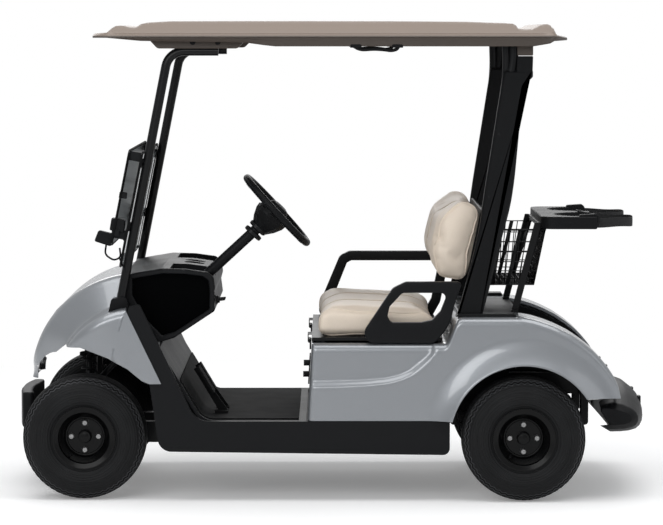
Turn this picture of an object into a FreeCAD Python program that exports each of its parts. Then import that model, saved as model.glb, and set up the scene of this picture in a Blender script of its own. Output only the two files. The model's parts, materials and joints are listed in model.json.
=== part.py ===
import FreeCAD, Part
import math
import os
from FreeCAD import Placement, Rotation, Vector

# Two-seat golf cart, millimetres. X runs from the nose to the tail, Y to the cart's right, Z up.
# The origin is on the ground, under the middle of the cart's overall length and width.

# Driving sizes: alias, value, what it measures. Places along X, Y and Z are measured from the origin.
SIZES = [
    # whole cart
    ("overall_length", 2400, "front bumper to rear bumper"),
    ("front_overhang", 276, "front bumper to front axle"),
    ("wheelbase", 1640, "front axle to rear axle"),
    ("front_track", 870, "between the front tyre centres"),
    ("rear_track", 980, "between the rear tyre centres"),
    ("overrun", 20, "how far a cutting tool runs past a face"),
    ("seat_gap", 0.3, "gap left between pieces that lie on each other"),
    ("swing_gap", 6, "gap left between pieces that move past each other"),
    # tyre, 18 x 8.50 - 8
    ("tyre_radius", 232, "to the crown"),
    ("tyre_half_width", 103, "centre to the sidewall"),
    ("tyre_shoulder", 34, "height of the shoulder"),
    ("tyre_half_crown", 76, "half the flat of the tread"),
    ("tyre_wall", 11, "carcass thickness"),
    ("tyre_bead_height", 18, "bead seat to the start of the sidewall"),
    ("bead_half", 83, "centre to the bead's outer face"),
    # pressed steel rim, 8 inch, with hub
    ("rim_seat_radius", 101.6, "bead seat"),
    ("rim_flange", 16, "height of the lip over the bead seat"),
    ("rim_well", 18, "depth of the drop well under the bead seat"),
    ("rim_half_width", 94, "centre to the lip's outer face"),
    ("rim_well_half", 34, "half the width of the drop well"),
    ("rim_sheet", 5, "pressed sheet"),
    ("disc_offset", 20, "wheel centre to the disc's outer face, outboard"),
    ("hub_radius", 33, "bearing barrel"),
    ("hub_inboard", 46, "wheel centre to the barrel's inner end"),
    ("hub_cap_radius", 21, "dust cap"),
    ("hub_cap_length", 28, "dust cap, outboard of the disc"),
    ("lug_circle", 101.6, "pitch circle of the wheel nuts"),
    ("lug_radius", 9.5, "wheel nut"),
    ("lug_length", 14, "wheel nut"),
    # kingpins, knuckles and tie rod
    ("kingpin_offset", 116, "wheel centre plane to the kingpin, inboard"),
    ("kingpin_radius", 9, "kingpin"),
    ("pin_clear", 0.05, "radial running clearance of pins and spindles"),
    ("knuckle_radius", 18, "knuckle barrel"),
    ("knuckle_height", 90, "knuckle barrel"),
    ("knuckle_gap", 0.5, "knuckle barrel to the clevis ears"),
    ("clevis_ear", 14, "thickness of a clevis ear"),
    ("spindle_radius", 14, "stub axle"),
    ("spindle_collar_radius", 24, "shoulder behind the bearing"),
    ("steer_arm_length", 100, "kingpin to tie rod pin, towards the tail"),
    ("steer_arm_height", 14, "steering arm section"),
    ("steer_arm_width", 20, "steering arm section"),
    ("tie_rod_radius", 7, "tie rod"),
    ("tie_pin_radius", 6, "tie rod pin"),
    ("tie_eye_radius", 14, "tie rod eye"),
    ("tie_eye_height", 16, "tie rod eye"),
    # frame
    ("rail_half_track", 150, "centre plane to a main rail's middle"),
    ("rail_width", 42, "main rail section"),
    ("rail_height", 80, "main rail section"),
    ("rail_wall", 5, "main rail section"),
    ("rail_bottom", 172, "ground to the main rail"),
    ("rail_front", -1090, "front end of the rails"),
    ("rail_kick_start", 400, "where the rails rise over the axle"),
    ("rail_kick_end", 540, "where the rails run level again"),
    ("rail_rise", 188, "height of the kick-up"),
    ("rail_rear", 1060, "rear end of the rails"),
    ("cross_width", 46, "crossmember section"),
    ("bearer_front", -470, "front floor bearer's middle"),
    ("bearer_mid", -110, "middle floor bearer's middle"),
    # front suspension
    ("arm_radius", 13, "lower arm tube"),
    ("arm_spread", 110, "axle to a lower arm's frame pivot, along X"),
    ("strut_radius", 24, "shock absorber body"),
    ("spring_radius", 38, "coil spring, outside"),
    ("spring_wire", 9, "coil spring wire"),
    ("tower_height", 545, "ground to the strut's top mount"),
    ("tower_half_track", 205, "centre plane to the strut's top mount"),
    ("pivot_radius", 15, "lower arm's frame eye"),
    ("pivot_length", 40, "lower arm's frame eye"),
    ("pivot_bolt", 6, "bolt through the frame eye"),
    ("pivot_lug", 5, "thickness of a frame lug"),
    ("pivot_reach", 22, "rail to the frame eye's middle"),
    ("clevis_back", 9, "knuckle barrel to the clevis's back"),
    ("steer_arm_level", 23, "wheel centre up to the steering arm's underside"),
    ("drop_arm_y", 60, "centre plane to the steering box's output shaft"),
    ("box_shaft_radius", 11, "output shaft"),
    ("box_lift", 36, "drop arm up to the steering box"),
    ("box_bore_depth", 30, "output shaft inside the box"),
    ("box_length", 96, "steering box"),
    ("box_half_width", 48, "steering box"),
    ("box_height", 74, "steering box"),
    ("box_round", 14, "steering box"),
    ("joint_length", 52, "universal joint under the column"),
    ("spring_turns", 6, "coils of a front spring"),
    # rear axle
    ("axle_tube_radius", 30, "rear axle tube"),
    ("gear_case_radius", 82, "gear case"),
    ("gear_case_width", 150, "gear case"),
    ("motor_radius", 86, "drive motor"),
    ("motor_length", 236, "drive motor"),
    ("brake_drum_radius", 88, "brake drum"),
    ("brake_drum_width", 46, "brake drum"),
    ("shock_offset", 300, "centre plane to the rear shock absorbers"),
    ("shock_top", 440, "ground to the shock's upper eye"),
    ("brake_gap", 8, "hub to the brake drum"),
    ("motor_offset", 158, "axle to the motor's middle, along X"),
    ("motor_lift", 26, "axle to the motor's middle, upwards"),
    ("leaf_half_span", 250, "axle to a spring eye"),
    ("leaf_eye_z", 262, "ground to the spring eyes"),
    ("leaf_thick", 27, "spring pack of three leaves"),
    ("leaf_width", 45, "spring leaf"),
    ("leaf_y", 225, "centre plane to a leaf spring"),
    ("shock_lean", 26, "how far a rear shock leans back, per end"),
    # pedals
    ("brake_y", -300, "brake pedal's middle"),
    ("brake_width", 96, "brake pedal pad"),
    ("throttle_y", -170, "throttle pedal's middle"),
    ("throttle_width", 64, "throttle pedal pad"),
    ("pedal_arm", 16, "pedal arm section"),
    ("pedal_foot_x", -424, "pedal's foot on the floor"),
    ("pedal_length", 190, "pedal, foot to head"),
    ("pedal_pad_share", 0.6, "pad's share of the pedal's length"),
    ("pedal_sheet", 8, "pad and foot plate"),
    # battery pack
    ("battery_front", -28, "front face"),
    ("battery_length", 376, "along X"),
    ("battery_half_width", 404, "centre plane to the side"),
    ("battery_height", 276, "battery with its caps"),
    # floor
    ("floor_top", 300, "ground to the floor's upper face"),
    ("floor_sheet", 12, "moulded floor thickness"),
    ("floor_half_width", 534, "centre plane to the floor's edge"),
    ("floor_rear", -94, "rear edge of the floor"),
    ("floor_heel", -478, "where the toe board starts to rise"),
    ("toe_top_x", -640, "upper edge of the toe board"),
    ("toe_top_z", 570, "upper edge of the toe board"),
    ("floor_bend", 70, "bend between floor and toe board"),
    ("mat_sheet", 5, "rubber mat thickness"),
    ("mat_margin", 28, "mat edge to floor edge"),
    ("mat_rise_share", 0.55, "how far the mat goes up the toe board"),
    ("pillar_width", 30, "pillar at its top"),
    # side panels, with sill and pillar
    ("sill_out", 563.5, "centre plane to the side panel's outer face"),
    ("sill_in", 536, "centre plane to the side panel's inner edge"),
    ("sill_wall", 6, "moulded wall"),
    ("sill_front_x", -700, "front end of the side panel"),
    ("sill_rear_x", 440, "rear end of the sill"),
    ("sill_bottom", 174, "ground to the sill's lower edge"),
    ("sill_corner", 26, "corner rounding"),
    ("pillar_top_z", 736, "top of the side panel's pillar"),
    ("pillar_top_x", -742, "top of the side panel's pillar"),
    # front cowl
    ("cowl_hub_x", -720, "centre of the cowl's fan of sections"),
    ("cowl_hub_z", 405, "centre of the cowl's fan of sections"),
    ("cowl_radius", 431, "hub to the hood at the dash"),
    ("cowl_half_width", 570, "centre plane to the fender's outer face"),
    ("cowl_wall", 6, "moulded wall"),
    ("cowl_arch_front_x", -1082, "front foot of the fender arch"),
    ("cowl_arch_rear_x", -676, "rear foot of the fender arch"),
    ("cowl_arch_z", 440, "foot of the fender arch"),
    ("cowl_arch_top", 572, "top of the fender arch"),
    ("cowl_start", 98, "turn about the hub where the hood meets the dash, in degrees"),
    ("cowl_end", 178, "turn about the hub of the lower lip, in degrees"),
    ("cowl_over_turn", 3, "how far the space under the cowl runs on, in degrees"),
    ("cowl_sections", 9, "sections between the two"),
    ("cowl_root", 24, "inner end of the sections, at the hub"),
    ("cowl_lip_z", 408, "lower lip of the nose"),
    ("fender_step", 118, "hood crest to the fender's crease"),
    ("fender_ridge", 12, "fender's rise from the crease to the hood's foot"),
    ("fender_round", 34, "rounding of the fender"),
    ("hood_round", 70, "rounding of the hood's edge"),
    ("shoulder_share", 0.42, "hood's flank as a share of the fender's top"),
    ("arch_in", 282, "centre plane to the inner end of the wheel opening"),
    ("cheek_rear_x", -632, "rear corner of the cheek"),
    ("cheek_overlap", 60, "how far the cheek runs into the fender"),
    ("nose_start", 141, "turn of the nose panel's upper edge, in degrees"),
    ("nose_end", 163, "turn of the nose panel's lower edge, in degrees"),
    ("nose_half_width", 92, "centre plane to the nose panel's side"),
    ("nose_depth", 3, "nose panel under the hood's face"),
    ("nose_proud", 3, "nose panel over the hood's face"),
    # front bumper
    ("bumper_half_width", 238, "centre plane to the bumper's end"),
    ("bumper_depth", 44, "front to back"),
    ("bumper_bottom", 236, "lower edge"),
    ("bumper_top", 372, "upper edge of the face"),
    ("bumper_sweep", 22, "how far the ends lie behind the middle"),
    # dash
    ("dash_half_width", 436, "centre plane to the dash's end"),
    ("dash_front", -800, "front edge at the hood"),
    ("dash_rear", -436, "rear lip"),
    ("dash_top", 836, "top shelf"),
    ("dash_bottom", 592, "lowest edge"),
    ("dash_shelf", 34, "top shelf thickness"),
    ("dash_wall", 14, "walls between the pockets"),
    ("dash_console_half", 150, "half the width of the middle console"),
    ("cup_radius", 40, "cup holder"),
    ("cup_depth", 78, "cup holder"),
    ("cup_spacing", 104, "between cup holders"),
    ("pocket_depth", 170, "open pocket, front to back"),
    ("pocket_floor", 716, "floor of the open pocket"),
    ("cup_x", -530, "middle of the cup holders"),
    # steering column and wheel
    ("column_y", -270, "driver's centre line"),
    ("column_tilt", 42.6, "column above the horizontal, in degrees"),
    ("column_radius", 20, "column cover"),
    ("column_start", 84, "steering wheel centre down to the cover"),
    ("column_length", 560, "column cover"),
    ("wheel_x", -207, "steering wheel centre"),
    ("wheel_z", 1070, "steering wheel centre"),
    ("wheel_rim_radius", 166, "rim's centre line"),
    ("wheel_grip_radius", 14, "rim's section"),
    ("wheel_boss_radius", 62, "boss at the rim plane"),
    ("wheel_boss_depth", 76, "boss, from the rim plane down the column"),
    ("wheel_shaft_radius", 11, "steering shaft"),
    ("wheel_shaft_length", 70, "shaft inside the column"),
    ("shaft_clear", 0.06, "radial running clearance of the shaft"),
    ("spoke_width", 30, "spoke section"),
    ("spoke_height", 10, "spoke section"),
    # rear body
    ("body_half_width", 562, "centre plane to the seat pod's side"),
    ("body_wall", 6, "moulded wall"),
    ("body_lean", 16, "how far the pod's front leans back"),
    ("body_front", -90, "front edge of the seat pod"),
    ("body_seat_top", 588, "upper edge under the seat"),
    ("body_shelf_top", 686, "top behind the seat"),
    ("body_shelf_front", 474, "front edge of the shelf behind the seat"),
    ("body_tail_x", 1080, "tail end"),
    ("body_tail_z", 384, "tail end"),
    ("body_shoulder", 95, "rounding of the rear shoulder"),
    ("arch_radius", 276, "rear wheel arch"),
    ("flare_radius", 350, "outer edge of the fender flare"),
    ("flare_out", 600, "centre plane to the flare's outermost face"),
    ("well_half_width", 340, "half the width of the opening behind the seat"),
    ("seat_bay_rear", 374, "rear edge of the opening under the seat"),
    ("seat_bay_half", 500, "half the width of the opening under the seat"),
    # rear liner and deck
    ("deck_sheet", 8, "moulded wall of the bag well"),
    ("deck_shelf_rear", 706, "rear edge of the shelf"),
    ("deck_floor_z", 478, "bag well floor"),
    ("liner_gap", 12, "arch edge to the wheel housing"),
    ("liner_sheet", 4, "wheel housing wall"),
    ("liner_in", 372, "centre plane to the housing's inner wall"),
    # rear bumper
    ("tail_bumper_half", 520, "centre plane to the bumper's end"),
    ("tail_bumper_top", 396, "upper edge"),
    ("tail_bumper_bottom", 222, "lower edge"),
    ("tail_bumper_depth", 118, "front to back"),
    ("tail_bumper_sweep", 60, "how far the ends lie ahead of the middle"),
    # seat
    ("seat_front", -74, "front of the cushion"),
    ("seat_rear", 413, "rear of the cushion"),
    ("seat_half_width", 488, "centre plane to the cushion's side"),
    ("seat_board_bottom", 594, "underside of the seat board"),
    ("seat_board", 12, "seat board thickness"),
    ("seat_top_front", 716, "cushion top at the front"),
    ("seat_top_rear", 692, "cushion top at the rear"),
    ("seat_round", 46, "rounding of the cushion"),
    ("hinge_radius", 7, "seat hinge knuckle"),
    ("hinge_pin", 3.5, "seat hinge pin"),
    ("hinge_gap", 2, "hinge knuckles to each other and to the pod"),
    ("hinge_length", 90, "seat hinge"),
    ("hinge_y", 300, "centre plane to a seat hinge"),
    ("hinge_sheet", 3, "seat hinge strap"),
    ("hinge_leaf", 34, "height of the leaf on the pod"),
    ("pad_y", 400, "centre plane to a seat stop"),
    ("pad_half", 20, "half the width of a seat stop"),
    # backrest
    ("back_half_width", 452, "centre plane to the backrest's side"),
    ("back_bottom_z", 812, "lower edge"),
    ("back_top_z", 1136, "upper edge"),
    ("back_front_x", 392, "face at the lower edge"),
    ("back_lean", 64, "how far the top lies behind the bottom"),
    ("back_thick", 108, "cushion thickness"),
    ("back_round", 44, "rounding of the cushion"),
    ("back_shell", 12, "shell behind the cushion"),
    ("back_belly", -16, "how far the lumbar part stands forward"),
    ("back_mid_share", 0.3, "lean at three quarters of the height, as a share"),
    ("back_top_share", 0.35, "front of the top, as a share of the thickness"),
    ("shell_low_share", 0.12, "lower edge of the shell on the cushion's rear face"),
    ("shell_high_share", 0.94, "upper edge of the shell on the cushion's rear face"),
    ("back_bar", 12, "radius of the bar between the struts"),
    # armrests
    ("armrest_in", 500, "centre plane to the armrest's inner face"),
    ("armrest_out", 540, "centre plane to the armrest's outer face"),
    ("armrest_left_front", 90, "foot of the left armrest"),
    ("armrest_left_rear", 484, "rear of the left armrest"),
    ("armrest_left_top", 818, "top of the left armrest"),
    ("armrest_right_front", -66, "foot of the right armrest"),
    ("armrest_right_rear", 484, "rear of the right armrest"),
    ("armrest_right_top", 862, "top of the right armrest"),
    ("armrest_bar", 38, "armrest's bar, seen from the side"),
    # control panel on the seat pod
    ("panel_sheet", 5, "plate thickness"),
    ("panel_left", -470, "left edge"),
    ("panel_right", -360, "right edge"),
    ("panel_bottom", 430, "lower edge"),
    ("panel_top", 536, "upper edge"),
    ("knob_radius", 11, "knob"),
    ("knob_length", 18, "knob"),
    # roof and its struts
    ("roof_front", -887, "front tip"),
    ("roof_rear", 875, "rear tip"),
    ("roof_half_width", 580, "centre plane to the edge"),
    ("roof_edge_z", 1690, "lower edge of the sides"),
    ("roof_rim_z", 1736, "top of the rim"),
    ("roof_crown_z", 1784, "crown"),
    ("roof_wall", 6, "moulded wall"),
    ("front_strut_radius", 17, "front strut tube"),
    ("front_strut_y", 480, "centre plane to a front strut"),
    ("front_strut_foot_x", -792, "foot"),
    ("front_strut_foot_z", 716, "foot"),
    ("front_strut_top_x", -604, "where the strut turns under the roof"),
    ("front_strut_top_z", 1672, "where the strut turns under the roof"),
    ("front_strut_end_x", -420, "rear end under the roof"),
    ("front_strut_bend", 70, "bend under the roof"),
    ("rear_strut_in", 456, "centre plane to a rear strut's inner face"),
    ("rear_strut_out", 504, "centre plane to a rear strut's outer face"),
    ("rear_strut_foot_x", 498, "front of the foot"),
    ("rear_strut_knee_x", 588, "front of the knee"),
    ("rear_strut_top_x", 630, "front of the top"),
    ("rear_strut_knee_z", 1110, "knee"),
    ("rear_strut_top_z", 1552, "top of the cover"),
    ("rear_strut_depth", 80, "front to back"),
    ("roof_tail_drop", 14, "how far the rear rim lies under the front rim"),
    ("roof_round", 18, "rounding of the rim"),
    ("roof_corner", 110, "corner in plan"),
    ("roof_flat_share", 0.8, "flat part of the crown, as a share of the width"),
    ("front_bracket_front", -642, "front strut's roof bracket"),
    ("front_bracket_rear", -343, "front strut's roof bracket"),
    ("bracket_half", 26, "half the width of a roof bracket"),
    ("rear_cap_length", 122, "rear strut's roof bracket"),
    ("cover_half_length", 46, "half the length of a strut foot cover"),
    ("cover_height", 36, "strut foot cover over the foot"),
    ("strut_round", 10, "rounding of the rear struts"),
    # windscreen
    ("screen_half_width", 505, "centre plane to the pane's side"),
    ("screen_sheet", 5, "pane thickness"),
    ("screen_bottom", 868, "lower edge of the lower pane"),
    ("screen_hinge_z", 1290, "hinge line"),
    ("screen_offset", 24, "strut centre line to the lower pane's middle"),
    ("screen_fold", 48, "lower pane to the folded pane"),
    ("screen_upper_length", 350, "folded pane below the hinge"),
    ("clip_low_z", 1000, "lower clip"),
    ("clip_high_z", 1236, "upper clip"),
    ("clip_height", 34, "clip and stop"),
    ("clip_half", 15, "half the width of a clip"),
    # bag rack and basket
    ("rack_upright_y", 300, "centre plane to an upright"),
    ("rack_upright_width", 26, "flat bar"),
    ("rack_upright_sheet", 8, "flat bar"),
    ("rack_foot_x", 680, "foot of an upright"),
    ("rack_top_x", 768, "top of an upright"),
    ("rack_top_z", 1024, "top of an upright"),
    ("cradle_bottom", 1004, "lower face of the bag cradle"),
    ("cradle_height", 44, "bag cradle"),
    ("cradle_front", 806, "front face of the bag cradle"),
    ("bag_ring_radius", 150, "inside of a bag loop"),
    ("bag_ring_y", 200, "centre plane to a bag loop's middle"),
    ("bag_ring_x", 990, "middle of a bag loop"),
    ("bag_band", 10, "thickness of the cradle and loop walls"),
    ("strap_sheet", 3, "webbing"),
    ("strap_height", 38, "webbing"),
    ("basket_half_width", 295.7, "centre plane to the basket's side"),
    ("basket_bottom", 782, "ground to the basket's floor"),
    ("basket_top", 1000, "basket's rim"),
    ("basket_front_foot", 590, "front wall at the floor"),
    ("basket_rear_foot", 764, "rear wall at the floor"),
    ("basket_lean", 52, "how far the rim lies behind the floor"),
    ("basket_wire", 5, "wire"),
    ("basket_pitch", 44, "between wires"),
]

doc = FreeCAD.newDocument("golf_cart")
sheet = doc.addObject("Spreadsheet::Sheet", "Sizes")
for row, (alias, value, note) in enumerate(SIZES, start=1):
    sheet.set(f"A{row}", alias)
    sheet.set(f"B{row}", str(value))
    sheet.set(f"C{row}", note)
    sheet.setAlias(f"B{row}", alias)
doc.recompute()


class Cells:
    """Reads a size from the sheet by its alias."""

    def __getattr__(self, alias):
        return float(sheet.get(alias))


mm = Cells()
FRONT_AXLE = -mm.overall_length / 2 + mm.front_overhang
REAR_AXLE = FRONT_AXLE + mm.wheelbase
AXLES = {"front": FRONT_AXLE, "rear": REAR_AXLE}
TRACKS = {"front": "front_track", "rear": "rear_track"}
SIDES = {"left": -1, "right": 1}
AXLE_CELLS = {
    "front": "-Sizes.overall_length / 2 + Sizes.front_overhang",
    "rear": "-Sizes.overall_length / 2 + Sizes.front_overhang + Sizes.wheelbase",
}
EAST = Vector(1, 0, 0)
NORTH = Vector(0, 1, 0)
UP = Vector(0, 0, 1)


# Outlines and simple solids


def in_side_plane(y):
    """Maps an outline's (x, z) to the plane at y."""
    return lambda x, z: Vector(x, y, z)


def in_plan(z):
    """Maps an outline's (x, y) to the level z."""
    return lambda x, y: Vector(x, y, z)


def in_front_plane(x):
    """Maps an outline's (y, z) to the plane at x."""
    return lambda y, z: Vector(x, y, z)


def loop(points, radius, place):
    """A closed wire through the points, each corner turned by an arc of its radius."""
    corners = [place(a, b) for a, b in points]
    radii = radius if isinstance(radius, (list, tuple)) else [radius] * len(corners)
    turns = []
    for here, corner in enumerate(corners):
        back = corners[here - 1] - corner
        ahead = corners[(here + 1) % len(corners)] - corner
        half = back.getAngle(ahead) / 2
        reach = min(radii[here] / math.tan(half), 0.48 * back.Length, 0.48 * ahead.Length)
        if reach < 1e-3 * mm.overrun:
            turns.append((corner, None, corner))
            continue
        back.normalize()
        ahead.normalize()
        inward = (back + ahead).normalize()
        arc_radius = reach * math.tan(half)
        middle = corner + inward * (arc_radius / math.sin(half) - arc_radius)
        turns.append((corner + back * reach, middle, corner + ahead * reach))
    edges = []
    for here, (start, middle, end) in enumerate(turns):
        if middle is not None:
            edges.append(Part.Arc(start, middle, end).toShape())
        following = turns[(here + 1) % len(turns)][0]
        if (following - end).Length > 1e-3 * mm.seat_gap:
            edges.append(Part.LineSegment(end, following).toShape())
    return Part.Wire(edges)


def slab(points, radius, y_low, y_high):
    """An (x, z) outline, solid from y_low to y_high."""
    face = Part.Face(loop(points, radius, in_side_plane(y_low)))
    return face.extrude(NORTH * (y_high - y_low))


def plan_slab(points, radius, z_low, z_high):
    """An (x, y) outline, solid from z_low to z_high."""
    face = Part.Face(loop(points, radius, in_plan(z_low)))
    return face.extrude(UP * (z_high - z_low))


def front_slab(points, radius, x_low, x_high):
    """A (y, z) outline, solid from x_low to x_high."""
    face = Part.Face(loop(points, radius, in_front_plane(x_low)))
    return face.extrude(EAST * (x_high - x_low))


def block(x_low, x_high, y_low, y_high, z_low, z_high):
    """A plain box between two corners."""
    low = Vector(x_low, y_low, z_low)
    return Part.makeBox(x_high - x_low, y_high - y_low, z_high - z_low, low)


def rod(start, end, radius):
    """A round bar between two points."""
    along = end - start
    return Part.makeCylinder(radius, along.Length, start, along)


def bent_path(points, bend):
    """An open wire through the points, with an arc at each corner."""
    edges = []
    start = points[0]
    for here in range(1, len(points) - 1):
        corner = points[here]
        back = points[here - 1] - corner
        ahead = points[here + 1] - corner
        half = back.getAngle(ahead) / 2
        reach = min(bend / math.tan(half), 0.48 * back.Length, 0.48 * ahead.Length)
        back.normalize()
        ahead.normalize()
        inward = (back + ahead).normalize()
        arc_radius = reach * math.tan(half)
        middle = corner + inward * (arc_radius / math.sin(half) - arc_radius)
        edges.append(Part.LineSegment(start, corner + back * reach).toShape())
        edges.append(Part.Arc(corner + back * reach, middle, corner + ahead * reach).toShape())
        start = corner + ahead * reach
    edges.append(Part.LineSegment(start, points[-1]).toShape())
    return Part.Wire(edges)


def tube(points, bend, radius):
    """A round bar bent along the points."""
    path = bent_path(points, bend)
    ring = Part.Wire([Part.makeCircle(radius, points[0], points[1] - points[0])])
    return path.makePipeShell([ring], True, True)


def inset(points, share_of, amount):
    """The points of an outline, each moved towards share_of by the amount."""
    moved = []
    for a, b in points:
        reach = math.hypot(a - share_of[0], b - share_of[1])
        scale = max(0.0, 1 - amount / reach)
        moved.append((share_of[0] + (a - share_of[0]) * scale, share_of[1] + (b - share_of[1]) * scale))
    return moved


def offset_face(face, amount):
    """The face grown by the amount, or shrunk where it is negative."""
    return face.makeOffset2D(amount)


def dished(points, radius, y_open, y_back, wall):
    """A moulded panel: an (x, z) outline with its back at y_back and a rim that reaches y_open."""
    face = Part.Face(loop(points, radius, in_side_plane(y_open)))
    whole = face.extrude(NORTH * (y_back - y_open))
    inner = offset_face(face, -wall)
    over = math.copysign(mm.overrun, y_back - y_open)
    inner.translate(NORTH * -over)
    hollow = inner.extrude(NORTH * (y_back - y_open + over - math.copysign(wall, y_back - y_open)))
    return whole.cut(hollow)


def mirrored(shape):
    """The same piece on the cart's other side."""
    return shape.mirror(Vector(0, 0, 0), NORTH)


def pair(shape):
    """A piece on the left and its mirror image on the right."""
    return Part.makeCompound([shape, mirrored(shape)])


def fused(*shapes):
    """One solid of pieces that meet."""
    return shapes[0].multiFuse(list(shapes[1:])).removeSplitter()


def between(shares, x_low, x_high, z_low, z_high):
    """Turns shares of a rectangle into points."""
    return [(x_low + a * (x_high - x_low), z_low + b * (z_high - z_low)) for a, b in shares]


def add(label, shape):
    """Puts a finished piece in the document."""
    piece = doc.addObject("Part::Feature", label)
    piece.Label = label
    piece.Shape = shape
    PIECES.append(piece)
    return piece


PIECES = []


# Sketched pieces, bound to the sheet


def bound_sketch(body, name, role, outline):
    """A closed sketch on one of the body's origin planes. Each corner is a pair of expressions."""
    sketch = body.newObject("Sketcher::SketchObject", name)
    plane = next(f for f in body.Origin.OriginFeatures if f.Role == role)
    sketch.AttachmentSupport = [(plane, "")]
    sketch.MapMode = "FlatFace"
    import Sketcher

    corners = []
    for across, along in outline:
        corners.append(Vector(sheet.evalExpression(across), sheet.evalExpression(along), 0))
    for here, corner in enumerate(corners):
        sketch.addGeometry(Part.LineSegment(corner, corners[(here + 1) % len(corners)]))
    for here in range(len(corners)):
        sketch.addConstraint(Sketcher.Constraint("Coincident", here, 2, (here + 1) % len(corners), 1))
    for here, (across, along) in enumerate(outline):
        for kind, text, value in (("DistanceX", across, corners[here].x), ("DistanceY", along, corners[here].y)):
            index = sketch.addConstraint(Sketcher.Constraint(kind, -1, 1, here, 1, value))
            sketch.setExpression(f"Constraints[{index}]", text)
    return sketch


def turned_body(label, outline):
    """A body turned about the cart's Y direction from an outline of (radius, y) expressions."""
    body = doc.addObject("PartDesign::Body", label)
    body.Label = label
    sketch = bound_sketch(body, label + "_section", "XY_Plane", outline)
    turned = body.newObject("PartDesign::Revolution", label + "_turned")
    turned.Profile = sketch
    turned.ReferenceAxis = (sketch, ["V_Axis"])
    turned.Angle = 360
    doc.recompute()
    PIECES.append(body)
    return body


def place_wheel(body, axle, side):
    """Stands a turned body at its axle, with its outboard face away from the cart."""
    if SIDES[side] < 0:
        body.Placement = Placement(Vector(0, 0, 0), Rotation(UP, 180))
    body.setExpression("Placement.Base.x", AXLE_CELLS[axle])
    body.setExpression("Placement.Base.y", f"{SIDES[side]} * Sizes.{TRACKS[axle]} / 2")
    body.setExpression("Placement.Base.z", "Sizes.tyre_radius")


TYRE_OUTLINE = [
    ("Sizes.rim_seat_radius + Sizes.seat_gap", "Sizes.bead_half"),
    ("Sizes.rim_seat_radius + Sizes.tyre_bead_height", "Sizes.bead_half"),
    ("Sizes.rim_seat_radius + 1.7 * Sizes.tyre_bead_height", "Sizes.tyre_half_width"),
    ("Sizes.tyre_radius - Sizes.tyre_shoulder", "Sizes.tyre_half_width"),
    ("Sizes.tyre_radius", "Sizes.tyre_half_crown"),
    ("Sizes.tyre_radius", "-Sizes.tyre_half_crown"),
    ("Sizes.tyre_radius - Sizes.tyre_shoulder", "-Sizes.tyre_half_width"),
    ("Sizes.rim_seat_radius + 1.7 * Sizes.tyre_bead_height", "-Sizes.tyre_half_width"),
    ("Sizes.rim_seat_radius + Sizes.tyre_bead_height", "-Sizes.bead_half"),
    ("Sizes.rim_seat_radius + Sizes.seat_gap", "-Sizes.bead_half"),
    ("Sizes.rim_seat_radius + Sizes.seat_gap", "-Sizes.bead_half + Sizes.tyre_wall"),
    ("Sizes.tyre_radius - Sizes.tyre_shoulder", "-Sizes.tyre_half_width + Sizes.tyre_wall"),
    ("Sizes.tyre_radius - Sizes.tyre_wall", "-Sizes.tyre_half_crown + Sizes.tyre_wall"),
    ("Sizes.tyre_radius - Sizes.tyre_wall", "Sizes.tyre_half_crown - Sizes.tyre_wall"),
    ("Sizes.tyre_radius - Sizes.tyre_shoulder", "Sizes.tyre_half_width - Sizes.tyre_wall"),
    ("Sizes.rim_seat_radius + Sizes.seat_gap", "Sizes.bead_half - Sizes.tyre_wall"),
]

LIP = "Sizes.rim_seat_radius + Sizes.rim_flange"
SEAT = "Sizes.rim_seat_radius"
WELL = "Sizes.rim_seat_radius - Sizes.rim_well"
RIM_OUTLINE = [
    ("0", "Sizes.disc_offset + Sizes.hub_cap_length"),
    ("0", "Sizes.disc_offset - Sizes.rim_sheet"),
    ("Sizes.spindle_radius + Sizes.pin_clear", "Sizes.disc_offset - Sizes.rim_sheet"),
    ("Sizes.spindle_radius + Sizes.pin_clear", "-Sizes.hub_inboard"),
    ("Sizes.hub_radius", "-Sizes.hub_inboard"),
    ("Sizes.hub_radius", "Sizes.disc_offset - Sizes.rim_sheet"),
    (f"{WELL} - Sizes.rim_sheet", "Sizes.disc_offset - Sizes.rim_sheet"),
    (f"{WELL} - Sizes.rim_sheet", "-Sizes.rim_well_half"),
    (f"{SEAT} - Sizes.rim_sheet", "-Sizes.rim_well_half - Sizes.rim_well"),
    (f"{SEAT} - Sizes.rim_sheet", "-Sizes.bead_half - Sizes.rim_sheet"),
    (f"{LIP} - Sizes.rim_sheet", "-Sizes.rim_half_width"),
    (LIP, "-Sizes.rim_half_width"),
    (LIP, "-Sizes.rim_half_width + Sizes.rim_sheet"),
    (SEAT, "-Sizes.bead_half - Sizes.seat_gap"),
    (SEAT, "-Sizes.rim_well_half - Sizes.rim_well"),
    (WELL, "-Sizes.rim_well_half"),
    (WELL, "Sizes.rim_well_half"),
    (SEAT, "Sizes.rim_well_half + Sizes.rim_well"),
    (SEAT, "Sizes.bead_half + Sizes.seat_gap"),
    (LIP, "Sizes.rim_half_width - Sizes.rim_sheet"),
    (LIP, "Sizes.rim_half_width"),
    (f"{LIP} - Sizes.rim_sheet", "Sizes.rim_half_width"),
    (f"{SEAT} - Sizes.rim_sheet", "Sizes.bead_half + Sizes.rim_sheet"),
    (f"{SEAT} - Sizes.rim_sheet", "Sizes.rim_well_half + Sizes.rim_well"),
    (f"{WELL} - Sizes.rim_sheet", "Sizes.rim_well_half"),
    (f"{WELL} - Sizes.rim_sheet", "Sizes.disc_offset"),
    ("Sizes.hub_cap_radius", "Sizes.disc_offset"),
    ("Sizes.hub_cap_radius", "Sizes.disc_offset + Sizes.hub_cap_length"),
]


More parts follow.
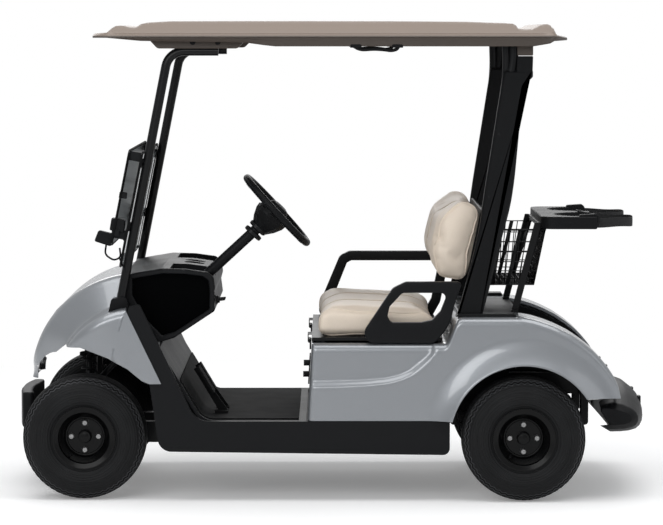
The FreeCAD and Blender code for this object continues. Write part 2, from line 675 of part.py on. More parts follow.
def make_wheels():
    """Four tyres, and four rims with their hubs and wheel nuts."""
    for axle in AXLES:
        for side in SIDES:
            tyre = turned_body(f"tyre_{axle}_{side}", TYRE_OUTLINE)
            place_wheel(tyre, axle, side)
            rim = turned_body(f"rim_{axle}_{side}", RIM_OUTLINE)
            add_lugs(rim)
            place_wheel(rim, axle, side)


def add_lugs(rim):
    """Four hexagonal wheel nuts on the disc."""
    import Sketcher

    sketch = rim.newObject("Sketcher::SketchObject", rim.Name + "_nut")
    plane = next(f for f in rim.Origin.OriginFeatures if f.Role == "XZ_Plane")
    sketch.AttachmentSupport = [(plane, "")]
    sketch.MapMode = "FlatFace"
    sketch.addGeometry(Part.Circle(Vector(mm.lug_circle / 2, 0, 0), UP, mm.lug_radius))
    sketch.addConstraint(Sketcher.Constraint("Radius", 0, mm.lug_radius))
    sketch.setExpression("Constraints[0]", "Sizes.lug_radius")
    sketch.addConstraint(Sketcher.Constraint("DistanceX", -1, 1, 0, 3, mm.lug_circle / 2))
    sketch.setExpression("Constraints[1]", "Sizes.lug_circle / 2")
    sketch.addConstraint(Sketcher.Constraint("DistanceY", -1, 1, 0, 3, 0))
    sketch.setExpression("AttachmentOffset.Base.z", "Sizes.rim_sheet / 2 - Sizes.disc_offset")
    nut = rim.newObject("PartDesign::Pad", rim.Name + "_nut_pad")
    nut.Profile = sketch
    nut.Reversed = True
    nut.setExpression("Length", "Sizes.rim_sheet / 2 + Sizes.lug_length")
    doc.recompute()
    ring = rim.newObject("PartDesign::PolarPattern", rim.Name + "_nuts")
    ring.Originals = [nut]
    ring.Axis = (sketch, ["V_Axis"])
    ring.Axis = (next(f for f in rim.Origin.OriginFeatures if f.Role == "Y_Axis"), [""])
    ring.Angle = 360
    ring.Occurrences = 4
    rim.Tip = ring
    doc.recompute()


# Frame


def rail_line(depth, over):
    """The rail's bends at a height over its underside, run out past both ends by over."""
    rise = math.atan2(mm.rail_rise, mm.rail_kick_end - mm.rail_kick_start)
    shift = depth * math.tan(rise / 2)
    low = mm.rail_bottom + depth
    return [
        (mm.rail_front - over, low),
        (mm.rail_kick_start - shift, low),
        (mm.rail_kick_end - shift, low + mm.rail_rise),
        (mm.rail_rear + over, low + mm.rail_rise),
    ]


def rail_outline(inner, over):
    """The rail seen from the side, drawn in from its faces by inner."""
    return rail_line(inner, over) + rail_line(mm.rail_height - inner, over)[::-1]


def rail_faces():
    """A rail's inner and outer face on the right."""
    return mm.rail_half_track - mm.rail_width / 2, mm.rail_half_track + mm.rail_width / 2


def bearer_top():
    """Level of the floor bearers' upper faces."""
    return mm.floor_top - mm.floor_sheet - mm.seat_gap


def make_frame():
    """Box rails kicked up over the rear axle, with crossmembers, floor bearers and strut towers."""
    inner, outer = rail_faces()
    rail = slab(rail_outline(0, 0), 0, inner, outer)
    rail = rail.cut(slab(rail_outline(mm.rail_wall, mm.overrun), 0, inner + mm.rail_wall, outer - mm.rail_wall))
    pieces = [rail, mirrored(rail)]
    top = mm.rail_bottom + mm.rail_height
    for x in (mm.rail_front + mm.cross_width / 2, FRONT_AXLE):
        pieces.append(cross_bar(x, inner, mm.rail_bottom, mm.rail_bottom + mm.cross_width))
    reach = mm.sill_out - mm.sill_wall - mm.seat_gap
    battery_rear = mm.battery_front + mm.battery_length
    near = mm.battery_front + mm.cross_width / 2
    far = battery_rear - mm.cross_width / 2
    for x in (mm.bearer_front, mm.bearer_mid, near, far):
        pieces.append(cross_bar(x, reach, top, bearer_top()))
    high = top + mm.rail_rise
    for x in (mm.deck_shelf_rear - mm.cross_width, mm.rail_rear - mm.cross_width / 2):
        pieces.append(cross_bar(x, inner, high - mm.cross_width, high))
        post = deck_underside() - mm.seat_gap if x > mm.deck_shelf_rear else mm.body_shelf_top - mm.deck_sheet - mm.seat_gap
        for side in (-1, 1):
            y = side * mm.rail_half_track
            half = mm.rail_width / 2
            pieces.append(block(x - half, x + half, y - half, y + half, high - mm.rail_wall, post))
    pieces += suspension_lugs(outer) + [strut_tower()] + bumper_brackets()
    add("frame", fused(*pieces))


def cross_bar(x, half_span, low, high):
    """A crossmember whose middle is at x."""
    half = mm.cross_width / 2
    return block(x - half, x + half, -half_span, half_span, low, high)


def deck_underside():
    """Underside of the bag well's floor."""
    return mm.deck_floor_z - mm.deck_sheet


def arm_pivots():
    """Places of the lower arms' frame pivots along X."""
    return [FRONT_AXLE - mm.arm_spread, FRONT_AXLE + mm.arm_spread]


def arm_level():
    """Height of the lower arms' frame pivots."""
    return mm.rail_bottom + mm.arm_radius + mm.pivot_lug


def suspension_lugs(outer):
    """Pairs of lugs on the rails, with the bolts that the lower arms turn on."""
    lugs = []
    half = mm.pivot_length / 2 + mm.pin_clear
    reach = outer + mm.pivot_reach
    z = arm_level()
    for x in arm_pivots():
        for side in (-1, 1):
            for lean in (-1, 1):
                start = x + lean * half
                end = start + lean * mm.pivot_lug
                low, high = sorted((side * (outer - mm.rail_wall), side * reach))
                lug = block(min(start, end), max(start, end), low, high, z - mm.pivot_radius, z + mm.pivot_radius)
                lugs.append(lug)
                tip = Vector(min(start, end), side * reach, z)
                lugs.append(rod(tip, tip + EAST * mm.pivot_lug, mm.pivot_radius))
            bolt = Vector(x - half - mm.pivot_lug, side * reach, z)
            lugs.append(rod(bolt, bolt + EAST * 2 * (half + mm.pivot_lug), mm.pivot_bolt))
    return lugs


def strut_tower():
    """The arch between the rails that carries the front shock absorbers' top ends."""
    inner, outer = rail_faces()
    base = mm.rail_bottom + mm.rail_height - mm.rail_wall
    seat = mm.tower_height
    top = seat + mm.cross_width
    wide = mm.tower_half_track + mm.spring_radius
    leg = mm.tower_half_track - mm.spring_radius - mm.swing_gap
    outline = [(outer, base), (leg, seat), (wide, seat), (wide, top)]
    outline += [(-y, z) for y, z in outline[::-1]]
    outline += [(-inner, base), (-inner, seat), (inner, seat), (inner, base)]
    half = mm.cross_width / 2
    return front_slab(outline, 0, FRONT_AXLE - half, FRONT_AXLE + half)


def bumper_brackets():
    """Arms from the rail ends to the bumpers."""
    pieces = []
    inner, outer = rail_faces()
    low = mm.rail_bottom + mm.rail_height
    for side in (-1, 1):
        near, far = sorted((side * inner, side * outer))
        back = front_bumper_back() - mm.seat_gap
        pieces.append(block(back, mm.rail_front + mm.overrun, near, far, low - mm.rail_wall, low + mm.cross_width))
        bow = mm.tail_bumper_sweep * (outer / (mm.tail_bumper_half - mm.body_wall)) ** 2
        tail = mm.overall_length / 2 - mm.body_wall - bow - 2 * mm.seat_gap
        high = low + mm.rail_rise
        arm_low = mm.tail_bumper_bottom + mm.rail_height
        arm_high = mm.tail_bumper_top - mm.cross_width
        pieces.append(block(mm.rail_rear - mm.overrun, tail, near, far, arm_low, arm_high))
        pieces.append(block(mm.rail_rear - mm.overrun, mm.rail_rear, near, far, arm_low, high))
    return pieces


def front_bumper_back():
    """Rear face of the front bumper at the rails."""
    share = (rail_faces()[1] / mm.bumper_half_width) ** 2
    share += mm.seat_gap / mm.bumper_sweep
    return -mm.overall_length / 2 + mm.bumper_depth + mm.bumper_sweep * share


# Front axle


def kingpin(side):
    """Middle of the kingpin, level with the wheel centre."""
    return Vector(FRONT_AXLE, side * (mm.front_track / 2 - mm.kingpin_offset), mm.tyre_radius)


def ear_levels():
    """Undersides of the lower and the upper clevis ear."""
    half = mm.knuckle_height / 2 + mm.knuckle_gap
    return mm.tyre_radius - half - mm.clevis_ear, mm.tyre_radius + half


def arm_and_clevis():
    """A lower arm with its two pivot eyes, the clevis for the knuckle and the kingpin."""
    pin = kingpin(1)
    low, high = ear_levels()
    inward = pin.y - mm.knuckle_radius - mm.clevis_back
    half = mm.knuckle_radius - mm.swing_gap
    pieces = []
    for level in (low, high):
        pieces.append(rod(Vector(pin.x, pin.y, level), Vector(pin.x, pin.y, level + mm.clevis_ear), mm.knuckle_radius))
        pieces.append(block(pin.x - half, pin.x + half, inward - mm.clevis_ear, pin.y, level, level + mm.clevis_ear))
    pieces.append(block(pin.x - half, pin.x + half, inward - mm.clevis_ear, inward, low, high + mm.clevis_ear))
    pieces.append(rod(Vector(pin.x, pin.y, low), Vector(pin.x, pin.y, high + mm.clevis_ear), mm.kingpin_radius))
    outer = rail_faces()[1] + mm.pivot_reach
    foot = Vector(pin.x, inward - mm.clevis_ear / 2, low + mm.clevis_ear / 2)
    bores = []
    for x in arm_pivots():
        eye = Vector(x - mm.pivot_length / 2, outer, arm_level())
        pieces.append(rod(eye, eye + EAST * mm.pivot_length, mm.pivot_radius))
        clear = outer + mm.pivot_radius + mm.arm_radius + mm.swing_gap
        route = [foot, Vector(x, clear, arm_level()), Vector(x, outer + mm.pivot_bolt + mm.arm_radius / 2, arm_level())]
        pieces.append(tube(route, mm.arm_radius, mm.arm_radius))
        start = eye - EAST * mm.overrun
        bores.append(rod(start, start + EAST * (mm.pivot_length + 2 * mm.overrun), mm.pivot_bolt + mm.pin_clear))
    return fused(*pieces).cut(Part.makeCompound(bores))


def make_front_suspension():
    """Lower arms, and coil springs over shock absorbers."""
    add("front_arms", pair(arm_and_clevis()))
    add("front_shocks", pair(front_shock()))


def front_shock():
    """A shock absorber in its coil spring, from the clevis up to the tower."""
    pin = kingpin(1)
    high = ear_levels()[1] + mm.clevis_ear + mm.seat_gap
    foot = Vector(pin.x, pin.y - mm.knuckle_radius - mm.clevis_back - mm.clevis_ear / 2, high)
    head = Vector(pin.x, mm.tower_half_track, mm.tower_height - mm.seat_gap)
    along = (head - foot).normalize()
    length = (head - foot).Length
    pieces = [
        rod(foot, head, mm.strut_radius / 2),
        rod(foot + along * mm.strut_radius, foot + along * length / 2, mm.strut_radius),
        rod(foot + along * mm.strut_radius, foot + along * (mm.strut_radius + mm.spring_wire), mm.spring_radius),
        rod(head - along * (mm.strut_radius + mm.spring_wire), head - along * mm.strut_radius, mm.spring_radius),
    ]
    middle = mm.spring_radius - mm.spring_wire
    first = mm.strut_radius + mm.spring_wire
    span = length - 2 * first
    helix = Part.makeLongHelix(span / mm.spring_turns, span, middle)
    ring = Part.Wire([Part.makeCircle(mm.spring_wire / 2, Vector(middle, 0, 0), NORTH)])
    coil = helix.makePipeShell([ring], True, True)
    coil.Placement = Placement(foot + along * first, Rotation(UP, along))
    keep = rod(foot - along * mm.overrun, head + along * mm.overrun, mm.spring_radius)
    whole = fused(*pieces, coil)
    low = block(pin.x - mm.overall_length, pin.x + mm.overall_length, 0, mm.overall_length, high, mm.tower_height - mm.seat_gap)
    return whole.common(low)


def make_knuckles():
    """The knuckles with stub axle, steering arm and the stud for the tie rod."""
    for name, side in SIDES.items():
        pin = kingpin(side)
        half = mm.knuckle_height / 2
        barrel = rod(pin - UP * half, pin + UP * half, mm.knuckle_radius)
        hub_end = side * (mm.front_track / 2 - mm.hub_inboard)
        out = NORTH * side
        collar_end = Vector(pin.x, hub_end, pin.z) - out * mm.knuckle_gap
        tip = Vector(pin.x, side * mm.front_track / 2, pin.z) + out * (mm.disc_offset - mm.rim_sheet - mm.knuckle_gap)
        arm_low = pin.z + mm.steer_arm_level
        stud = pin + EAST * mm.steer_arm_length
        stud = Vector(stud.x, stud.y, arm_low)
        half_arm = mm.steer_arm_width / 2
        pieces = [
            barrel,
            rod(pin, collar_end, mm.spindle_collar_radius),
            rod(pin, tip, mm.spindle_radius),
            block(pin.x, stud.x, pin.y - half_arm, pin.y + half_arm, arm_low, arm_low + mm.steer_arm_height),
            rod(stud, stud + UP * mm.steer_arm_height, mm.tie_eye_radius),
            rod(stud, stud + UP * (mm.steer_arm_height + mm.knuckle_gap + mm.tie_eye_height), mm.tie_pin_radius),
        ]
        bore = rod(pin - UP * (half + mm.overrun), pin + UP * (half + mm.overrun), mm.kingpin_radius + mm.pin_clear)
        add(f"knuckle_{name}", fused(*pieces).cut(bore))


def tie_rod_low():
    """Underside of the tie rod's eyes."""
    return mm.tyre_radius + mm.steer_arm_level + mm.steer_arm_height + mm.knuckle_gap


def stud_places():
    """Where the tie rod's studs stand: left knuckle, drop arm, right knuckle."""
    x = FRONT_AXLE + mm.steer_arm_length
    places = [kingpin(-1).y, -mm.drop_arm_y, kingpin(1).y]
    return [Vector(x, y, tie_rod_low()) for y in places]


def make_tie_rod():
    """A round bar with three eyes, lying on the steering arms and the drop arm."""
    eyes = stud_places()
    lift = UP * mm.tie_eye_height / 2
    pieces = [rod(eyes[0] + lift, eyes[-1] + lift, mm.tie_rod_radius)]
    bores = []
    for eye in eyes:
        pieces.append(rod(eye, eye + UP * mm.tie_eye_height, mm.tie_eye_radius))
        start = eye - UP * mm.overrun
        bores.append(rod(start, start + UP * (mm.tie_eye_height + 2 * mm.overrun), mm.tie_pin_radius + mm.pin_clear))
    add("tie_rod", fused(*pieces).cut(Part.makeCompound(bores)))


def make_steering_gear():
    """The steering box over the tie rod, the lower steering shaft, and the drop arm."""
    arm_low = mm.tyre_radius + mm.steer_arm_level
    centre = Vector(FRONT_AXLE, -mm.drop_arm_y, arm_low)
    top = arm_low + mm.steer_arm_height
    stud = centre + EAST * mm.steer_arm_length
    half = mm.steer_arm_width / 2
    box_low = top + mm.box_lift
    shaft_top = box_low + mm.box_bore_depth
    drop = [
        rod(centre, Vector(centre.x, centre.y, shaft_top), mm.box_shaft_radius),
        rod(centre, centre + UP * mm.steer_arm_height, mm.tie_eye_radius),
        block(centre.x, stud.x, centre.y - half, centre.y + half, arm_low, top),
        rod(stud, stud + UP * mm.steer_arm_height, mm.tie_eye_radius),
        rod(stud, stud + UP * (mm.steer_arm_height + mm.knuckle_gap + mm.tie_eye_height), mm.tie_pin_radius),
    ]
    add("drop_arm", fused(*drop))
    front = centre.x - mm.box_length + mm.box_shaft_radius + mm.overrun
    case = block(front, front + mm.box_length, centre.y - mm.box_half_width, centre.y + mm.box_half_width, box_low, box_low + mm.box_height)
    case = case.makeFillet(mm.box_round, [e for e in case.Edges if abs(e.tangentAt(e.FirstParameter).z) > 0.9])
    inner, outer = rail_faces()
    beam_rear = FRONT_AXLE - mm.cross_width / 2 - mm.seat_gap
    beam_front = beam_rear - mm.cross_width
    rail_top = mm.rail_bottom + mm.rail_height
    beam = block(beam_front, beam_rear, -outer, outer, box_low - mm.clevis_ear, box_low)
    pieces = [case, beam]
    for side in (-1, 1):
        near, far = sorted((side * inner, side * outer))
        pieces.append(block(beam_front, beam_rear, near, far, rail_top + mm.seat_gap, box_low))
    joint = column_point(mm.column_start + mm.column_length)
    entry = Vector(front + mm.box_length / 2, centre.y, box_low + mm.box_height)
    pieces.append(tube([joint, joint + column_down() * mm.joint_length, entry - UP * mm.overrun], mm.joint_length, mm.wheel_shaft_radius))
    pieces.append(rod(joint + column_down() * mm.seat_gap, joint + column_down() * mm.joint_length, mm.column_radius))
    gear = fused(*pieces)
    bore = rod(Vector(centre.x, centre.y, box_low - mm.overrun), Vector(centre.x, centre.y, shaft_top + mm.knuckle_gap), mm.box_shaft_radius + mm.pin_clear)
    add("steering_gear", gear.cut(bore))


# Steering column and wheel


def column_down():
    """Direction from the steering wheel down the column."""
    tilt = math.radians(mm.column_tilt)
    return Vector(-math.cos(tilt), 0, -math.sin(tilt))


def column_point(distance):
    """A point on the column's axis, down from the steering wheel."""
    return Vector(mm.wheel_x, mm.column_y, mm.wheel_z) + column_down() * distance


def make_column():
    """The column cover, with its foot on the toe board's upper edge."""
    start = column_point(mm.column_start)
    end = column_point(mm.column_start + mm.column_length)
    cover = rod(start, end, mm.column_radius)
    x = mm.toe_top_x
    half = mm.column_radius + mm.clevis_ear
    foot_top = mm.wheel_z - (mm.wheel_x - x) * math.tan(math.radians(mm.column_tilt))
    foot_sheet = mm.floor_sheet / 2
    foot = block(x - foot_sheet, x, mm.column_y - half, mm.column_y + half, mm.toe_top_z + mm.seat_gap, foot_top)
    bore = rod(start - column_down() * mm.overrun, start + column_down() * (mm.wheel_shaft_length + mm.overrun), mm.wheel_shaft_radius + mm.shaft_clear)
    add("steering_column", fused(cover, foot).cut(bore))


def make_steering_wheel():
    """A wheel with three spokes on a deep boss, with its shaft."""
    rim = Part.makeTorus(mm.wheel_rim_radius, mm.wheel_grip_radius)
    sink = mm.wheel_boss_depth / 2
    boss = Part.makeCone(mm.column_radius + mm.swing_gap, mm.wheel_boss_radius, sink, Vector(0, 0, -mm.wheel_boss_depth))
    top = Part.makeCylinder(mm.wheel_boss_radius, sink - mm.spoke_height, Vector(0, 0, -sink))
    shaft_end = mm.column_start + mm.wheel_shaft_length
    shaft = Part.makeCylinder(mm.wheel_shaft_radius, shaft_end - mm.overrun, Vector(0, 0, -shaft_end))
    pieces = [rim, boss, top, shaft]
    for turn in (90, 210, 330):
        spoke = Part.makeBox(mm.wheel_rim_radius, mm.spoke_width, mm.spoke_height, Vector(0, -mm.spoke_width / 2, -mm.spoke_height * 1.5))
        spoke.rotate(Vector(0, 0, 0), UP, turn)
        pieces.append(spoke)
    wheel = fused(*pieces)
    wheel.Placement = Placement(column_point(0), Rotation(UP, -column_down()))
    add("steering_wheel", wheel)


# Floor, side panels and battery


def floor_path(depth, rear, up_share):
    """The floor's line from its rear edge to the toe board, sunk under its upper face by depth."""
    run = mm.floor_heel - mm.toe_top_x
    rise = mm.toe_top_z - mm.floor_top
    slope = math.atan2(rise, run)
    heel = mm.floor_heel - depth * math.tan(slope / 2)
    x = mm.floor_heel - run * up_share - depth * math.sin(slope)
    z = mm.floor_top + rise * up_share - depth * math.cos(slope)
    return [(rear, mm.floor_top - depth), (heel, mm.floor_top - depth), (x, z)]


def bent_sheet(low_depth, high_depth, rear, up_share, half_width):
    """A sheet that follows the floor and the toe board between two depths."""
    outline = floor_path(low_depth, rear, up_share) + floor_path(high_depth, rear, up_share)[::-1]
    radii = [0, mm.floor_bend + low_depth, 0, 0, mm.floor_bend + high_depth, 0]
    return slab(outline, radii, -half_width, half_width)


def make_floor():
    """The moulded floor with its toe board, and the rubber mat on it."""
    pan = bent_sheet(mm.floor_sheet, 0, mm.floor_rear, 1, mm.floor_half_width)
    add("floor_pan", pan)
    lift = mm.seat_gap
    mat = bent_sheet(-lift, -lift - mm.mat_sheet, mm.floor_rear - mm.mat_margin, mm.mat_rise_share, mm.floor_half_width - mm.mat_margin)
    add("floor_mat", mat)


def sill_outline():
    """The side panel: sill and pillar in one."""
    top = mm.floor_top
    return [
        (mm.sill_rear_x, mm.sill_bottom),
        (mm.sill_rear_x, top),
        (mm.floor_heel - mm.sill_corner, top),
        (mm.pillar_top_x + mm.pillar_width, mm.pillar_top_z),
        (mm.pillar_top_x - mm.sill_corner / 3, mm.pillar_top_z - mm.sill_corner / 3),
        (mm.pillar_top_x - mm.sill_corner, mm.pillar_top_z - 2.4 * mm.sill_corner),
        (mm.cowl_arch_rear_x, mm.cowl_arch_z),
        (mm.sill_front_x + mm.pillar_width + mm.pillar_width, mm.sill_bottom + mm.sill_corner / 2),
    ]


def make_side_panels():
    """Black side panels that cover the frame's edge and the front pillar."""
    corner = mm.sill_corner
    radii = [corner, 0, corner * 3, corner / 3, corner / 3, corner / 3, corner, corner * 2]
    left = dished(sill_outline(), radii, -mm.sill_in, -mm.sill_out, mm.sill_wall)
    add("side_panel_left", left)
    add("side_panel_right", mirrored(left))


def make_battery():
    """The battery pack as one block on the bearers."""
    pack = doc.addObject("Part::Box", "battery_pack")
    pack.Label = "battery_pack"
    pack.setExpression("Length", "Sizes.battery_length")
    pack.setExpression("Width", "2 * Sizes.battery_half_width")
    pack.setExpression("Height", "Sizes.battery_height")
    pack.setExpression("Placement.Base.x", "Sizes.battery_front")
    pack.setExpression("Placement.Base.y", "-Sizes.battery_half_width")
    pack.setExpression("Placement.Base.z", "Sizes.floor_top - Sizes.floor_sheet")
    PIECES.append(pack)


# Front cowl, bumper, dash


def lerp(table, share):
    """Reads a table of (share, value) pairs between its entries."""
    if share <= table[0][0]:
        return table[0][1]
    for (a, low), (b, high) in zip(table, table[1:]):
        if share <= b:
            return low + (high - low) * (share - a) / (b - a)
    return table[-1][1]


# Shares of the cowl's half width along its sweep from the dash (0) to the lower lip (1)
FENDER_WIDTH_SHARES = [(0, 1), (0.3, 1), (0.5, 0.965), (0.65, 0.88), (0.8, 0.74), (0.9, 0.6), (1, 0.44)]
HOOD_WIDTH_SHARES = [(0, 0.6), (0.3, 0.57), (0.5, 0.53), (0.65, 0.47), (0.8, 0.4), (0.9, 0.34), (1, 0.28)]


def cowl_section(turn, inner):
    """A section of the cowl in the plane that stands at turn degrees about the cowl's hub."""
    share = (turn - mm.cowl_start) / (mm.cowl_end - mm.cowl_start)
    wide = lerp(FENDER_WIDTH_SHARES, share) * mm.cowl_half_width - inner
    hood = lerp(HOOD_WIDTH_SHARES, share) * mm.cowl_half_width - inner / 2
    crest = mm.cowl_radius - inner
    crease = crest - mm.fender_step
    low = mm.cowl_root if inner == 0 else mm.cowl_root / 2
    shoulder = (wide - hood) * mm.shoulder_share
    outline = [(-wide, low), (-wide, crease), (-hood - shoulder, crease + mm.fender_ridge), (-hood, crest)]
    outline += [(-y, r) for y, r in outline[::-1]]
    lean = math.radians(turn)
    hub = Vector(mm.cowl_hub_x, 0, mm.cowl_hub_z)
    outward = Vector(math.cos(lean), 0, math.sin(lean))
    radii = [0, mm.fender_round, mm.fender_round, mm.hood_round]
    radii += radii[::-1]
    return loop(outline, [max(r - inner, r / 2) for r in radii], lambda y, r: hub + outward * r + NORTH * y)


def cowl_body(inner):
    """The cowl's outer form, or with an inner offset the space under it."""
    over = 0 if inner == 0 else mm.cowl_over_turn
    steps = int(mm.cowl_sections)
    first = mm.cowl_start - over
    last = mm.cowl_end + over
    sections = [cowl_section(first + (last - first) * n / steps, inner) for n in range(steps + 1)]
    return Part.makeLoft(sections, True, False)


def arch_outline():
    """The wheel opening in the fender, open towards the ground."""
    front = mm.cowl_arch_front_x
    rear = mm.cowl_arch_rear_x
    foot = mm.cowl_arch_z
    top = mm.cowl_arch_top
    below = foot - mm.tyre_radius
    lip = foot + mm.sill_corner + mm.swing_gap
    ahead = -mm.overall_length / 2
    rise = top - foot
    run = rear - front
    shares = [(0.09, 0.7), (0.2, 0.98), (0.36, 1), (0.62, 0.72), (0.8, 0.42), (0.95, 0.04)]
    points = [(ahead, below), (ahead, lip), (front, lip)]
    points += between(shares, front, rear, foot, top)
    return points + [(rear, foot), (rear, below)]


def make_cowl():
    """The hollow front cowl: hood and fenders in one moulding, with flat cheeks down to the side panels."""
    outer = cowl_body(0)
    shell = outer.cut(cowl_body(mm.cowl_wall))
    cheek = [
        (cowl_edge_x(), cowl_edge_z()),
        (mm.cheek_rear_x, mm.cowl_arch_z + mm.seat_gap),
        (mm.cowl_arch_rear_x, mm.cowl_arch_z - mm.seat_gap),
        (cowl_edge_x() - mm.cheek_overlap, mm.cowl_arch_z + mm.cheek_overlap),
    ]
    plate = slab(cheek, 0, mm.cowl_half_width - mm.cowl_wall, mm.cowl_half_width)
    shell = shell.multiFuse([plate, mirrored(plate)])
    reach = mm.cowl_half_width + mm.overrun
    arch = slab(arch_outline(), 0, mm.arch_in, reach)
    shell = shell.cut(Part.makeCompound([arch, mirrored(arch)]))
    rear = trim_behind()
    shell = shell.cut(rear).cut(nose_volume(mm.seat_gap))
    hub = Vector(mm.cowl_hub_x, -mm.arch_in, mm.cowl_hub_z)
    open_in = mm.cowl_radius - mm.fender_step - mm.overrun
    shell = shell.cut(Part.makeCylinder(open_in, 2 * mm.arch_in, hub, NORTH))
    shell = shell.cut(block(-mm.overall_length, mm.overall_length, -reach, reach, -mm.overrun, mm.cowl_lip_z))
    shell = largest(shell)
    add("front_cowl", shell)
    add("nose_panel", nose_volume(0).cut(nose_volume(0).common(Part.makeBox(mm.seat_gap / 2, mm.seat_gap / 2, mm.seat_gap / 2))))
    return outer


def largest(shape):
    """The biggest solid of a shape."""
    return max(shape.Solids, key=lambda solid: solid.Volume)


def cowl_edge_x():
    """Upper rear corner of the fender's cheek."""
    return mm.cowl_hub_x + (mm.cowl_radius - mm.fender_step) * math.cos(math.radians(mm.cowl_start))


def cowl_edge_z():
    """Upper rear corner of the fender's cheek."""
    return mm.cowl_hub_z + (mm.cowl_radius - mm.fender_step) * math.sin(math.radians(mm.cowl_start))


def trim_behind():
    """What lies behind the cheek's rear edge, to be cut away."""
    reach = mm.cowl_half_width + mm.overrun
    outline = [
        (cowl_edge_x(), cowl_edge_z()),
        (mm.cheek_rear_x, mm.cowl_arch_z),
        (mm.cheek_rear_x, mm.cowl_arch_z - mm.tyre_radius),
        (mm.overall_length / 2, mm.cowl_arch_z - mm.tyre_radius),
        (mm.overall_length / 2, cowl_edge_z()),
    ]
    return slab(outline, 0, -reach, reach)


def nose_volume(gap):
    """The black panel let into the nose, grown by a gap."""
    low = mm.cowl_radius - mm.nose_depth - gap
    high = mm.cowl_radius + mm.nose_proud + gap
    half = mm.nose_half_width + gap
    corners = [Vector(low, -half, 0), Vector(high, -half, 0), Vector(high, half, 0), Vector(low, half, 0)]
    face = Part.Face(Part.makePolygon(corners + corners[:1]))
    swept = face.revolve(Vector(0, 0, 0), NORTH, -(mm.nose_end - mm.nose_start))
    swept.Placement = Placement(Vector(mm.cowl_hub_x, 0, mm.cowl_hub_z), Rotation(NORTH, -mm.nose_start))
    return swept


def make_front_bumper():
    """A plain bowed bumper, its ends set back to clear the steered tyres."""
    front = -mm.overall_length / 2
    side = mm.bumper_half_width
    sweep = mm.bumper_sweep
    depth = mm.bumper_depth
    outer = [Vector(front + sweep, -side, 0), Vector(front, 0, 0), Vector(front + sweep, side, 0)]
    inner = [point + EAST * depth for point in outer]
    edges = [
        Part.Arc(*outer).toShape(),
        Part.LineSegment(outer[2], inner[2]).toShape(),
        Part.Arc(*inner[::-1]).toShape(),
        Part.LineSegment(inner[0], outer[0]).toShape(),
    ]
    face = Part.Face(Part.Wire(edges))
    face.translate(UP * mm.bumper_bottom)
    bar = face.extrude(UP * (mm.bumper_top - mm.bumper_bottom))
    ends = [e for e in bar.Edges if e.BoundBox.ZLength > mm.bumper_depth]
    bar = bar.makeFillet(mm.bumper_depth / 3, ends)
    add("front_bumper", bar)


def dash_outline():
    """The dash from the side."""
    shares = [(0.02, 0.8), (0.02, 0.985), (0.2, 1.04), (0.45, 1.1), (0.7, 1.09), (0.92, 1.045), (0.985, 0.97), (1, 0.8), (0.98, 0.68)]
    shares += [(1, 0.45), (0.58, 0.035), (0.42, -0.04), (0.2, 0.3)]
    return between(shares, mm.dash_front, mm.dash_rear, mm.dash_bottom, mm.dash_top)


def make_dash(cowl):
    """The moulded dash: middle console with cup holders, and an open pocket at each side."""
    half = mm.dash_half_width
    body = slab(dash_outline(), mm.dash_wall, -half, half)
    pocket_rear = mm.dash_rear + mm.overrun
    cuts = []
    for side in (-1, 1):
        low, high = sorted((side * (mm.dash_console_half + mm.dash_wall), side * (half - mm.dash_wall)))
        cuts.append(block(mm.dash_rear - mm.pocket_depth, pocket_rear - mm.dash_wall * 2, low, high, mm.pocket_floor, mm.dash_top + mm.overall_length))
        near = sorted((side * mm.cup_spacing / 2 - mm.cup_radius, side * mm.cup_spacing / 2 + mm.cup_radius))
        centre = Vector(mm.cup_x, side * mm.cup_spacing / 2, mm.dash_top + mm.dash_shelf - mm.cup_depth)
        cuts.append(rod(centre, centre + UP * 2 * mm.cup_depth, mm.cup_radius))
    cuts.append(rod(column_point(mm.column_start), column_point(mm.overall_length), mm.column_radius + mm.swing_gap))
    hood_end = mm.cowl_hub_x + mm.cowl_radius * math.cos(math.radians(mm.cowl_start))
    cuts.append(block(mm.dash_front - mm.overrun, hood_end, -2 * half, 2 * half, mm.dash_bottom, mm.dash_top + mm.dash_shelf))
    behind = mm.dash_rear - mm.pocket_depth - mm.dash_wall
    cuts.append(block(mm.dash_front - mm.overrun, behind, mm.dash_wall - half, half - mm.dash_wall, mm.toe_top_z - mm.overrun, mm.dash_top - mm.dash_shelf))
    body = body.cut(Part.makeCompound(cuts)).cut(cowl)
    body = largest(body)
    body.translate(EAST * mm.seat_gap)
    add("dash", body)


# Rear body


def tail_outline():
    """The seat pod and the rear fender from the side."""
    front = mm.body_front
    low = mm.floor_top + mm.seat_gap
    seat = mm.body_seat_top
    shelf = mm.body_shelf_top
    run = mm.body_tail_x - mm.deck_shelf_rear
    fall = shelf - mm.body_tail_z
    shares = [(0.36, 0.13), (0.61, 0.3), (0.79, 0.51), (0.925, 0.74), (1, 1)]
    points = [(front, low), (front + mm.body_lean, seat), (mm.body_shelf_front - mm.body_lean * 3, seat)]
    points += [(mm.body_shelf_front, shelf), (mm.deck_shelf_rear, shelf)]
    points += [(mm.deck_shelf_rear + a * run, shelf - b * fall) for a, b in shares]
    points += [(REAR_AXLE, mm.body_tail_z), (REAR_AXLE, low)]
    return points


def pod_front(z):
    """Place of the seat pod's leaning front face at a height."""
    return mm.body_front + mm.body_lean * (z - mm.floor_top) / (mm.body_seat_top - mm.floor_top)


